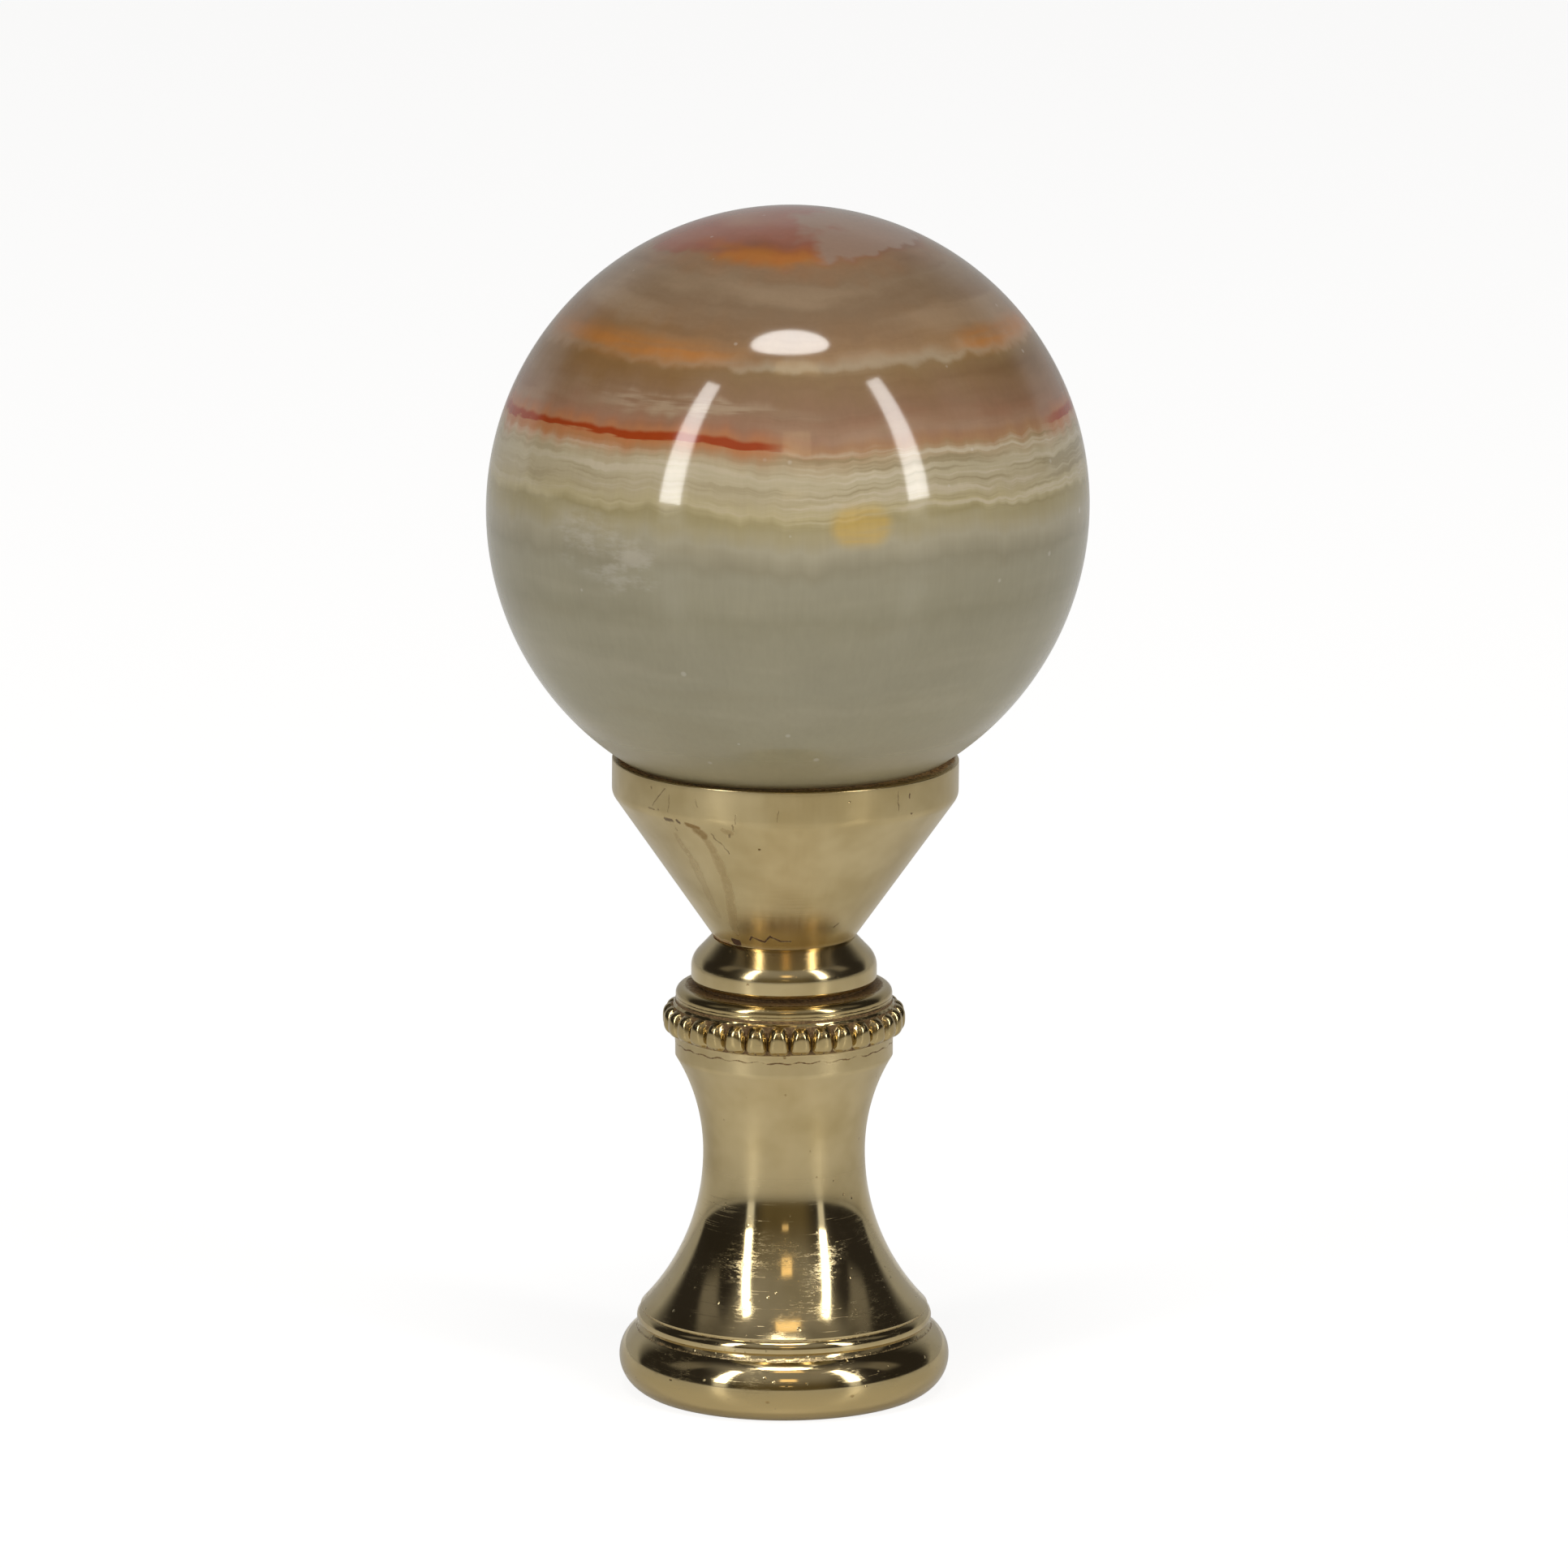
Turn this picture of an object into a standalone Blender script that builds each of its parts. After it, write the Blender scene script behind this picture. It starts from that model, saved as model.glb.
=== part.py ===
"""Lamp finial: a polished onyx ball seated in a turned brass cup, on a brass base with a beaded collar.

Three pieces stack up from the underside, which is at height zero: the base (foot, stem, beaded collar
and knob in one casting), the cup, and the ball. Every round form is a profile turned about the vertical
axis. Lengths are in metres.
"""

from math import acos, asin, atan2, cos, degrees, hypot, pi, radians, sin, sqrt, tan

import bmesh
import bpy
from mathutils import Matrix, Vector

MM = 0.001

# Facets round a turned piece and round the ball
TURN_FACETS = 48
BALL_FACETS = 40
BALL_RINGS = 20
BEAD_FACETS = 6
BEAD_RINGS = 6

# Ball
BALL_DIAMETER = 31.75 * MM

# Cup: a plain upright lip over a straight cone
CUP_DIAMETER = 18.35 * MM
CUP_LIP_HEIGHT = 1.87 * MM
CUP_CORNER_ROUND = 0.8 * MM
CUP_CONE_HEIGHT = 7.53 * MM
CUP_NECK_DIAMETER = 7.66 * MM
CUP_RIM_WIDTH = 0.2 * MM
CUP_LEAN_DEG = 0.5

# Gaps kept between pieces that bear on each other
SEAT_GAP = 0.28 * MM
NECK_GAP = 0.25 * MM

# Foot: a thick half-round cut flat below, that stands out from the step above it
FOOT_STAND = 0.95 * MM
FOOT_ROUND = 1.84 * MM
FOOT_UNDERCUT_DEG = 63.0
FOOT_TOP_DEG = 58.0

# Step: a small round bead over a narrow groove, that stands out from the end of the stem
STEP_STAND = 0.2 * MM
STEP_ROUND = 0.48 * MM
STEP_GROOVE_HEIGHT = 0.12 * MM
STEP_NOTCH_HEIGHT = 0.1 * MM

# Stem: two hollow sweeps that meet at the waist
WAIST_DIAMETER = 8.62 * MM
STEM_LOWER_HEIGHT = 8.43 * MM
STEM_LOWER_SWEEP = 12.29 * MM
STEM_UPPER_HEIGHT = 5.32 * MM
STEM_UPPER_SWEEP = 10.32 * MM

# Collar: a plain band, a ring of beads, and a plain rounded shoulder
BAND_HEIGHT = 1.21 * MM
BEAD_COUNT = 32
BEAD_HEIGHT = 1.52 * MM
BEAD_STAND = 0.66 * MM
BEAD_SPACE = 0.1 * MM
BEAD_CENTRE_STAND = 0.08 * MM
BEAD_TURN_DEG = -2.8
SHOULDER_HEIGHT = 1.0 * MM
SHOULDER_DRAW_IN = 0.03 * MM
SHOULDER_ROUND = 0.42 * MM

# Knob: a squat round on a narrow groove, under the cup
GROOVE_HEIGHT = 0.17 * MM
GROOVE_DEPTH = 0.48 * MM
KNOB_SET_IN = 0.825 * MM
KNOB_EDGE_ROUND = 0.4 * MM
KNOB_SIDE_HEIGHT = 0.45 * MM
KNOB_CROWN = 1.24 * MM
KNOB_TOP_HEIGHT = 1.66 * MM

# Threaded socket in the underside, at the outside size of its thread
SOCKET_DIAMETER = 6.35 * MM
SOCKET_DEPTH = 9.5 * MM
SOCKET_CHAMFER = 0.5 * MM

# Colours, as linear red, green and blue
ONYX_COLOUR = (0.27, 0.25, 0.17, 1.0)
BRASS_COLOUR = (0.42, 0.30, 0.12, 1.0)


# Heights from the underside, each built on the one below it
FOOT_CENTRE_Z = FOOT_ROUND * sin(radians(FOOT_UNDERCUT_DEG))
STEP_GROOVE_Z = FOOT_CENTRE_Z + FOOT_ROUND * sin(radians(FOOT_TOP_DEG))
STEP_CENTRE_Z = STEP_GROOVE_Z + STEP_GROOVE_HEIGHT + STEP_ROUND
STEM_Z = STEP_CENTRE_Z + STEP_ROUND + STEP_NOTCH_HEIGHT
WAIST_Z = STEM_Z + STEM_LOWER_HEIGHT
BAND_Z = WAIST_Z + STEM_UPPER_HEIGHT
BEAD_LOW_Z = BAND_Z + BAND_HEIGHT
BEAD_TOP_Z = BEAD_LOW_Z + BEAD_HEIGHT
SHOULDER_TOP_Z = BEAD_TOP_Z + SHOULDER_HEIGHT
KNOB_Z = SHOULDER_TOP_Z + GROOVE_HEIGHT
KNOB_CENTRE_Z = KNOB_Z + KNOB_EDGE_ROUND + KNOB_SIDE_HEIGHT
KNOB_TOP_Z = KNOB_CENTRE_Z + KNOB_TOP_HEIGHT
CUP_Z = KNOB_TOP_Z + NECK_GAP


def sweep_radius(height, sweep):
    """Radius of the stem at a height above or below the waist, on a hollow arc of radius sweep."""
    return WAIST_DIAMETER / 2 + sweep - sqrt(sweep**2 - height**2)


# Radii of the base, which spread from the two ends of the stem
STEP_R = sweep_radius(STEM_LOWER_HEIGHT, STEM_LOWER_SWEEP) + STEP_STAND
FOOT_CENTRE_R = STEP_R + FOOT_STAND - FOOT_ROUND
BAND_R = sweep_radius(STEM_UPPER_HEIGHT, STEM_UPPER_SWEEP)
SHOULDER_R = BAND_R - SHOULDER_DRAW_IN
KNOB_R = SHOULDER_R - KNOB_SET_IN
NECK_R = CUP_NECK_DIAMETER / 2

# Heights in the cup, from its own underside. The seat follows the ball at the seat gap, out to the narrow
# rim, and that sets how high the centre of the ball stands.
CUP_RIM_Z = CUP_CONE_HEIGHT + CUP_LIP_HEIGHT
BALL_RADIUS = BALL_DIAMETER / 2
SEAT_RADIUS = BALL_RADIUS + SEAT_GAP
RIM_INSIDE_R = CUP_DIAMETER / 2 - CUP_RIM_WIDTH
BALL_Z = CUP_RIM_Z + sqrt(SEAT_RADIUS**2 - RIM_INSIDE_R**2)


def arc(centre_r, centre_z, radius, start_deg, end_deg, steps):
    """Points of an arc in the profile plane, angles measured up from the outward direction."""
    angles = [radians(start_deg + (end_deg - start_deg) * i / steps) for i in range(steps + 1)]
    return [(centre_r + radius * cos(a), centre_z + radius * sin(a)) for a in angles]


def stem_sweep(low, high, sweep, steps):
    """Points of one hollow sweep of the stem, from height low to height high above the waist."""
    heights = [low + (high - low) * i / steps for i in range(steps + 1)]
    return [(sweep_radius(h, sweep), WAIST_Z + h) for h in heights]


def turn(bm, profile, facets):
    """Turns a profile, given from its lower axis end to its upper one, into a closed skin in bm."""
    rings = []
    for r, z in profile:
        if r < 1e-9:
            rings.append([bm.verts.new((0.0, 0.0, z))])
            continue
        angles = [2 * pi * i / facets for i in range(facets)]
        rings.append([bm.verts.new((r * cos(a), r * sin(a), z)) for a in angles])
    for lower, upper in zip(rings, rings[1:]):
        for i in range(facets):
            j = (i + 1) % facets
            below = [lower[i % len(lower)], lower[j % len(lower)]]
            above = [upper[j % len(upper)], upper[i % len(upper)]]
            bm.faces.new(dict.fromkeys(below + above))


def mesh_object(name, bm, colour, metallic, roughness, crease_deg):
    """Closes a bmesh into a smooth-shaded object with its own material."""
    bmesh.ops.recalc_face_normals(bm, faces=bm.faces)
    mesh = bpy.data.meshes.new(name)
    bm.to_mesh(mesh)
    bm.free()
    mesh.shade_smooth()
    mesh.set_sharp_from_angle(angle=radians(crease_deg))
    material = bpy.data.materials.new(name)
    material.use_nodes = True
    shader = material.node_tree.nodes["Principled BSDF"]
    shader.inputs["Base Color"].default_value = colour
    shader.inputs["Metallic"].default_value = metallic
    shader.inputs["Roughness"].default_value = roughness
    mesh.materials.append(material)
    obj = bpy.data.objects.new(name, mesh)
    bpy.context.scene.collection.objects.link(obj)
    return obj


def base_profile():
    """Section of the base, from the bottom of its socket, round the foot and up to the face under the cup."""
    socket_r = SOCKET_DIAMETER / 2
    points = [
        (0.0, SOCKET_DEPTH),
        (socket_r, SOCKET_DEPTH),
        (socket_r, SOCKET_CHAMFER),
        (socket_r + SOCKET_CHAMFER, 0.0),
    ]
    points += arc(FOOT_CENTRE_R, FOOT_CENTRE_Z, FOOT_ROUND, -FOOT_UNDERCUT_DEG, FOOT_TOP_DEG, 9)
    points += arc(STEP_R - STEP_ROUND, STEP_CENTRE_Z, STEP_ROUND, -50, 60, 5)
    points += stem_sweep(-STEM_LOWER_HEIGHT, 0.0, STEM_LOWER_SWEEP, 7)
    points += stem_sweep(0.0, STEM_UPPER_HEIGHT, STEM_UPPER_SWEEP, 5)[1:]
    points += [(BAND_R, BEAD_LOW_Z), (BAND_R, BEAD_TOP_Z)]
    points += arc(SHOULDER_R - SHOULDER_ROUND, SHOULDER_TOP_Z - SHOULDER_ROUND, SHOULDER_ROUND, 0, 90, 3)
    points += [(KNOB_R - GROOVE_DEPTH, SHOULDER_TOP_Z), (KNOB_R - GROOVE_DEPTH, KNOB_Z)]
    points += arc(KNOB_R - KNOB_EDGE_ROUND, KNOB_Z + KNOB_EDGE_ROUND, KNOB_EDGE_ROUND, -90, 0, 3)
    points += knob_crown()
    points += [(0.0, KNOB_TOP_Z)]
    return points


def knob_crown():
    """Upper part of the knob: a round, no taller than the part itself, that runs out in a straight slope."""
    crown = min(KNOB_CROWN, KNOB_TOP_HEIGHT)
    inward = NECK_R - (KNOB_R - crown)
    reach = hypot(inward, KNOB_TOP_HEIGHT)
    round_end = degrees(atan2(KNOB_TOP_HEIGHT, inward) - acos(crown / reach))
    return arc(KNOB_R - crown, KNOB_CENTRE_Z, crown, 0, round_end, 5) + [(NECK_R, KNOB_TOP_Z)]


def cup_profile():
    """Section of the cup, from the face over the knob, up the cone and lip, and back along the ball's seat."""
    lip_r = CUP_DIAMETER / 2
    cone_lean = atan2(lip_r - NECK_R, CUP_CONE_HEIGHT)
    corner_z = CUP_CONE_HEIGHT + CUP_CORNER_ROUND * tan(cone_lean / 2)
    points = [(0.0, 0.0), (NECK_R, 0.0)]
    points += arc(lip_r - CUP_CORNER_ROUND, corner_z, CUP_CORNER_ROUND, -degrees(cone_lean), 0, 3)
    points += [(lip_r, CUP_RIM_Z)]
    rim_deg = degrees(asin(RIM_INSIDE_R / SEAT_RADIUS))
    points += arc(0.0, BALL_Z, SEAT_RADIUS, rim_deg - 90, -90, 6)[:-1]
    points += [(0.0, BALL_Z - SEAT_RADIUS)]
    return points


def make_beads():
    """The ring of egg-shaped beads, a helper shape that is joined to the base."""
    ring_r = BAND_R + BEAD_CENTRE_STAND
    half_width = (2 * pi * ring_r / BEAD_COUNT - BEAD_SPACE) / 2
    half_depth = BEAD_STAND - BEAD_CENTRE_STAND
    bm = bmesh.new()
    for i in range(BEAD_COUNT):
        turn_angle = radians(BEAD_TURN_DEG - 90) + 2 * pi * i / BEAD_COUNT
        place = Matrix.Rotation(turn_angle, 4, "Z") @ Matrix.Translation(
            Vector((ring_r, 0.0, BEAD_LOW_Z + BEAD_HEIGHT / 2))
        )
        shape = Matrix.Diagonal((half_depth, half_width, BEAD_HEIGHT / 2, 1.0))
        bmesh.ops.create_uvsphere(
            bm, u_segments=BEAD_FACETS, v_segments=BEAD_RINGS, radius=1.0, matrix=place @ shape
        )
    beads = mesh_object("bead_ring_shape", bm, BRASS_COLOUR, 1.0, 0.3, 60)
    beads.hide_render = True
    beads.display_type = "WIRE"
    return beads


def make_base():
    """Foot, stem, beaded collar and knob: one brass casting, turned and then beaded."""
    bm = bmesh.new()
    turn(bm, base_profile(), TURN_FACETS)
    base = mesh_object("brass_base", bm, BRASS_COLOUR, 1.0, 0.22, 40)
    join = base.modifiers.new("beads", "BOOLEAN")
    join.operation = "UNION"
    join.solver = "EXACT"
    join.object = make_beads()
    return base


def make_cup(parent):
    """The turned brass cup that carries the ball."""
    bm = bmesh.new()
    turn(bm, cup_profile(), TURN_FACETS)
    cup = mesh_object("brass_cup", bm, BRASS_COLOUR, 1.0, 0.38, 25)
    cup.parent = parent
    return cup


def make_ball(parent):
    """The onyx ball, solid and polished."""
    bm = bmesh.new()
    bmesh.ops.create_uvsphere(bm, u_segments=BALL_FACETS, v_segments=BALL_RINGS, radius=BALL_RADIUS)
    ball = mesh_object("onyx_ball", bm, ONYX_COLOUR, 0.0, 0.12, 60)
    ball.parent = parent
    ball.location = (0.0, 0.0, BALL_Z)
    return ball


def make_lean():
    """An empty at the neck that carries the cup and the ball, which lean a little together."""
    lean = bpy.data.objects.new("cup_lean", None)
    lean.location = (0.0, 0.0, CUP_Z)
    lean.rotation_euler = (0.0, radians(CUP_LEAN_DEG), 0.0)
    bpy.context.scene.collection.objects.link(lean)
    return lean


for old in list(bpy.data.objects):
    bpy.data.objects.remove(old)

make_base()
lean = make_lean()
make_cup(lean)
make_ball(lean)
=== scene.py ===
# %% [markdown]
# # A lamp finial of onyx and brass
# The piece is a polished onyx ball in a brass cup, on a turned and beaded brass base that screws onto a
# lamp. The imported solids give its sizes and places. This notebook keeps them as the frame and makes the
# fine surfaces over them, because a solid with few faces can't show beads, tool marks or a true round.
# All lengths that the maker would measure are in millimetres, and MM turns them into scene units.

# %% Load the frame
from math import acos, atan2, cos, degrees, hypot, pi, radians, sin, sqrt, tan

import bpy
from mathutils import Matrix, Vector, noise


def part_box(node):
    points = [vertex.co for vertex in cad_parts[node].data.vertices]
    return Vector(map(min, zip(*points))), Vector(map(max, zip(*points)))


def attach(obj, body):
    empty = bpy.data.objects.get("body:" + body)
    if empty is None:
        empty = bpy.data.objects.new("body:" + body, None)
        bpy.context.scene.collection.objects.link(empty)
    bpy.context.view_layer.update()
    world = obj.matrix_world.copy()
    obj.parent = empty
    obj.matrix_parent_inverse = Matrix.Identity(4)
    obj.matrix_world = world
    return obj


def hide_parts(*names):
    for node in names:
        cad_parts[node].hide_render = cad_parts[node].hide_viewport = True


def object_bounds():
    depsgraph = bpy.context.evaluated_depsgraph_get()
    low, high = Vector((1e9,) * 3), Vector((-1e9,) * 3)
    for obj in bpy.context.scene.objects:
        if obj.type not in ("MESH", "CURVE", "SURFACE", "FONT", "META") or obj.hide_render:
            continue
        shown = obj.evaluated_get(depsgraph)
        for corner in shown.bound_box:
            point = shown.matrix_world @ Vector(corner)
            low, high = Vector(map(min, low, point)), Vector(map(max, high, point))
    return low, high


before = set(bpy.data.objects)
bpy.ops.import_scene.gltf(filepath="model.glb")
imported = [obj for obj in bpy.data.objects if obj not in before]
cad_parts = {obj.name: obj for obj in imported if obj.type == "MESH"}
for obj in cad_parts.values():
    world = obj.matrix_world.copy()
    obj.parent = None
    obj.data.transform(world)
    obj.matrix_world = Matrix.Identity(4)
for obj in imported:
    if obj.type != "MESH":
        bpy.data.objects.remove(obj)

MM = 0.001
cad_low, cad_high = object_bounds()
print("solids in the frame:", sorted(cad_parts))
print("height of the frame in mm:", round((cad_high[2] - cad_low[2]) / MM, 2))

# %% [markdown]
# ## The view
# A finial is small, so the picture of it was taken from near by with a long lens. The camera stands a
# little over half a metre away and about twelve degrees above the middle of the piece. That distance
# matters: from further off, the rims and the beads would all look flatter than they do.

# %% Camera
VIEW_DISTANCE = 550.0
VIEW_RISE_DEG = 11.905
VIEW_AIM_HEIGHT = 32.719
LENS_LENGTH = 238.7
SENSOR_WIDTH = 36.0


def place_camera():
    data = bpy.data.cameras.new("camera")
    data.lens = LENS_LENGTH
    data.sensor_width = SENSOR_WIDTH
    data.clip_start = 0.01
    data.clip_end = 10.0
    camera = bpy.data.objects.new("camera", data)
    rise = radians(VIEW_RISE_DEG)
    place = Vector((0.0, -VIEW_DISTANCE * cos(rise), VIEW_AIM_HEIGHT + VIEW_DISTANCE * sin(rise)))
    camera.location = place * MM
    camera.rotation_euler = (pi / 2 - rise, 0.0, 0.0)
    bpy.context.scene.collection.objects.link(camera)
    bpy.context.scene.camera = camera
    return camera


camera = place_camera()
bpy.context.scene.view_settings.view_transform = "Standard"
print("camera stands at", [round(value, 4) for value in camera.location])

# %% [markdown]
# ## Small tools for shader trees
# A shader tree is easier to read as short sums than as a long list of links. A Signal is the output of a
# node that can stand in a sum like a number, so a mask can be written as a formula, such as dirt * 0.5 +
# marks. Most functions below add a node to the tree that their values come from and give its output back.

# %% Shader tree tools


class Signal:
    """The output of a node, which can be added, taken away, multiplied and divided like a number."""

    def __init__(self, socket):
        self.socket = socket
        self.tree = socket.id_data

    def __add__(self, other):
        return maths("ADD", self, other)

    def __sub__(self, other):
        return maths("SUBTRACT", self, other)

    def __rsub__(self, other):
        return maths("SUBTRACT", other, self)

    def __mul__(self, other):
        return maths("MULTIPLY", self, other)

    def __truediv__(self, other):
        return maths("DIVIDE", self, other)

    def __rtruediv__(self, other):
        return maths("DIVIDE", other, self)

    __radd__ = __add__
    __rmul__ = __mul__


def wire(value, socket):
    """Puts a value on a socket, or links a signal to it."""
    if isinstance(value, Signal):
        value.tree.links.new(value.socket, socket)
    else:
        socket.default_value = value


def read(tree, kind, output):
    """Adds a node that only gives something, such as a place."""
    return Signal(tree.nodes.new("ShaderNode" + kind).outputs[output])


def add_node(kind, values, sockets=None, **settings):
    """Adds a node to the tree its values come from, and wires them to the given sockets or the first ones."""
    tree = next(value.tree for value in values if isinstance(value, Signal))
    node = tree.nodes.new("ShaderNode" + kind)
    for name, setting in settings.items():
        setattr(node, name, setting)
    for index, value in enumerate(values):
        wire(value, node.inputs[sockets[index] if sockets else index])
    return node


def maths(operation, *values):
    """A Math node. One value, such as the sine of a number, or two."""
    return Signal(add_node("Math", values, operation=operation).outputs[0])


def larger(first, second):
    return maths("MAXIMUM", first, second)


def smaller(first, second):
    return maths("MINIMUM", first, second)


def rise(value, start, end, low=0.0, high=1.0):
    """Goes smoothly from low to high as the value goes from start to end."""
    node = add_node("MapRange", (value, start, end, low, high), interpolation_type="SMOOTHSTEP")
    return Signal(node.outputs["Result"])


def band(value, low, high, soft):
    """1 between low and high, fading to 0 over the soft distance on both sides."""
    return rise(value, low - soft, low + soft) * rise(value, high - soft, high + soft, 1.0, 0.0)


def split(vector):
    """The three numbers of a vector."""
    return [Signal(socket) for socket in add_node("SeparateXYZ", (vector,)).outputs]


def join(x, y, z):
    """A vector from three numbers."""
    return Signal(add_node("CombineXYZ", (x, y, z)).outputs[0])


def vector_maths(operation, *values):
    """A Vector Math node. It gives a number for a length, a distance or a dot product."""
    node = add_node("VectorMath", values, operation=operation)
    gives_number = operation in ("LENGTH", "DISTANCE", "DOT_PRODUCT")
    return Signal(node.outputs["Value" if gives_number else "Vector"])


def scaled(vector, factor):
    """A vector made longer or shorter."""
    node = add_node("VectorMath", (vector, factor), (0, "Scale"), operation="SCALE")
    return Signal(node.outputs["Vector"])


def stretch(vector, x, y, z):
    """A vector made longer or shorter by its own amount on each axis."""
    return vector_maths("MULTIPLY", vector, (x, y, z))


COLOUR_SOCKETS = (0, 6, 7)


def mix(factor, first, second, blend="MIX"):
    """Mixes two colours."""
    node = add_node("Mix", (factor, first, second), COLOUR_SOCKETS, data_type="RGBA", blend_type=blend)
    return Signal(node.outputs[2])


def grain(vector, scale, detail=2.0, roughness=0.5):
    """Soft noise between 0 and 1, about 0.5 on average."""
    values = (vector, scale, detail, roughness)
    return Signal(add_node("TexNoise", values, ("Vector", "Scale", "Detail", "Roughness")).outputs["Fac"])


def ramp(value, stops):
    """A colour for each value between 0 and 1, from a few (place, colour) stops."""
    node = add_node("ValToRGB", (value,))
    elements = node.color_ramp.elements
    while len(elements) > 1:
        elements.remove(elements[-1])
    for index, (place, colour) in enumerate(stops):
        element = elements[0] if index == 0 else elements.new(place)
        element.position = place
        element.color = colour
    return Signal(node.outputs[0])


def hue(red, green, blue):
    """A colour as a screen shows it, from 0 to 255, turned into the light that a shader works with."""
    light = []
    for part in (red, green, blue):
        share = part / 255
        light.append(share / 12.92 if share <= 0.04045 else ((share + 0.055) / 1.055) ** 2.4)
    return (*light, 1.0)


print("brass tan as light:", [round(part, 3) for part in hue(163, 144, 101)])

# %% [markdown]
# ## Floor, room and lamps
# Polished brass has almost no colour of its own to show: most of what is seen on it is the room. The
# picture's room can be read from the brass, and it is a white table and a white sheet behind, a dim room
# in front, two upright strip lamps and one flat lamp overhead. The floor is lit like white card, and the
# camera sees it lighter still, so that it reads as plain white. The room itself is the world shader,
# which only knows directions.

# %% Floor
FLOOR_SIZE = 3.0
FLOOR_DROP = 0.00002
WHITE_CARD = 0.75
CARD_GLOW = 0.16
SEEN_CARD = 0.25
SEEN_GLOW = 0.86
CARD_SHEEN = 0.34


def make_floor():
    half = FLOOR_SIZE / 2
    mesh = bpy.data.meshes.new("floor")
    corners = [(-half, -half, 0), (half, -half, 0), (half, half, 0), (-half, half, 0)]
    mesh.from_pydata(corners, [], [(0, 1, 2, 3)])
    floor = bpy.data.objects.new("floor", mesh)
    floor.location.z = cad_low[2] - FLOOR_DROP
    bpy.context.scene.collection.objects.link(floor)
    material = bpy.data.materials.new("white_card")
    material.use_nodes = True
    tree = material.node_tree
    shader = tree.nodes["Principled BSDF"]
    seen = read(tree, "LightPath", "Is Camera Ray")
    wire(rise(seen, 0.0, 1.0, CARD_SHEEN, 1.0), shader.inputs["Roughness"])
    shader.inputs["Specular IOR Level"].default_value = 0.4
    card = (WHITE_CARD, WHITE_CARD, WHITE_CARD * 0.97, 1.0)
    seen_card = (SEEN_CARD, SEEN_CARD, SEEN_CARD, 1.0)
    wire(mix(seen, card, seen_card), shader.inputs["Base Color"])
    shader.inputs["Emission Color"].default_value = (1.0, 1.0, 1.0, 1.0)
    wire(rise(seen, 0.0, 1.0, CARD_GLOW, SEEN_GLOW), shader.inputs["Emission Strength"])
    mesh.materials.append(material)


make_floor()
print("floor side in metres:", FLOOR_SIZE)

# %% Room
SHEET_LIGHT = 0.43
SHEET_EDGE = 0.49
ROOM_DARK = (0.034, 0.031, 0.030, 1.0)
ROOM_LOW = (0.15, 0.122, 0.068, 1.0)
ROOM_MIDDLE = (0.35, 0.34, 0.33, 1.0)
WARM_LIGHT = (1.9, 1.45, 0.85, 1.0)
SPILL_LIGHT = (0.95, 0.97, 1.0, 1.0)
SIDE_LIGHT = (0.22, 0.21, 0.20, 1.0)


def make_room():
    world = bpy.data.worlds.new("room")
    bpy.context.scene.world = world
    world.use_nodes = True
    tree = world.node_tree
    tree.nodes.clear()
    across, back, up = split(read(tree, "TexCoord", "Generated"))
    softness = rise(up, 0.0, 0.75, 0.045, 0.30)
    sheet = rise(back - up * 0.4, SHEET_EDGE - softness, SHEET_EDGE + softness)
    white = larger(sheet, rise(up, 0.035, 0.015))
    side = maths("ABSOLUTE", across)
    middle = rise(side, 0.74, 0.36) * rise(back, 0.2, -0.3) * rise(up, 0.84, 0.97, 1.0, 0.35)
    colour = mix(middle, ROOM_DARK, mix(rise(up, 0.15, 0.72), ROOM_LOW, ROOM_MIDDLE))
    colour = mix(band(back, -0.16, 0.10, 0.05) * band(up, 0.45, 0.80, 0.1), colour, SIDE_LIGHT)
    front = larger(back * -1.0, 0.001)
    in_front = rise(back, 0.0, -0.02)
    along = across / front
    above = up / front
    low_lamp = band(along, -0.05, 0.17, 0.01) * band(above, 0.57, 0.80, 0.015)
    high_lamp = band(along, -0.20, 0.40, 0.02) * band(above, 1.85, 2.40, 0.05)
    far_lamp = band(along, -0.04, 0.10, 0.01) * band(above, 0.24, 0.29, 0.01) * 0.6
    warm = smaller(low_lamp + high_lamp + far_lamp, 1.0) * in_front
    colour = mix(warm, colour, WARM_LIGHT)
    beside_strips = larger(band(along, -1.20, -0.85, 0.07), band(along, 1.05, 1.40, 0.08))
    colour = mix(beside_strips * rise(up, 0.34, 0.22) * in_front, colour, SPILL_LIGHT)
    colour = mix(white, colour, (SHEET_LIGHT, SHEET_LIGHT, SHEET_LIGHT * 0.98, 1.0))
    colour = mix(read(tree, "LightPath", "Is Camera Ray"), colour, (1.0, 1.0, 1.0, 1.0))
    background = add_node("Background", (colour,))
    output = tree.nodes.new("ShaderNodeOutputWorld")
    wire(Signal(background.outputs[0]), output.inputs["Surface"])
    return world


room = make_room()
print("nodes in the room shader:", len(room.node_tree.nodes))

# %% Lamps
LAMP_LIGHT = 10.4
LAMP_COLOUR = (1.0, 0.985, 0.955)
STRIP_DISTANCE = 0.40
STRIP_TURNS_DEG = (-45.5, 50.5)
STRIP_WIDTH = 0.060
STRIP_LOW = 0.110
STRIP_HIGH = 0.575
TOP_LAMP_HEIGHT = 0.80
TOP_LAMP_SIZE = (0.34, 0.155)
TOP_LAMP_FRONT = 0.205


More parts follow.
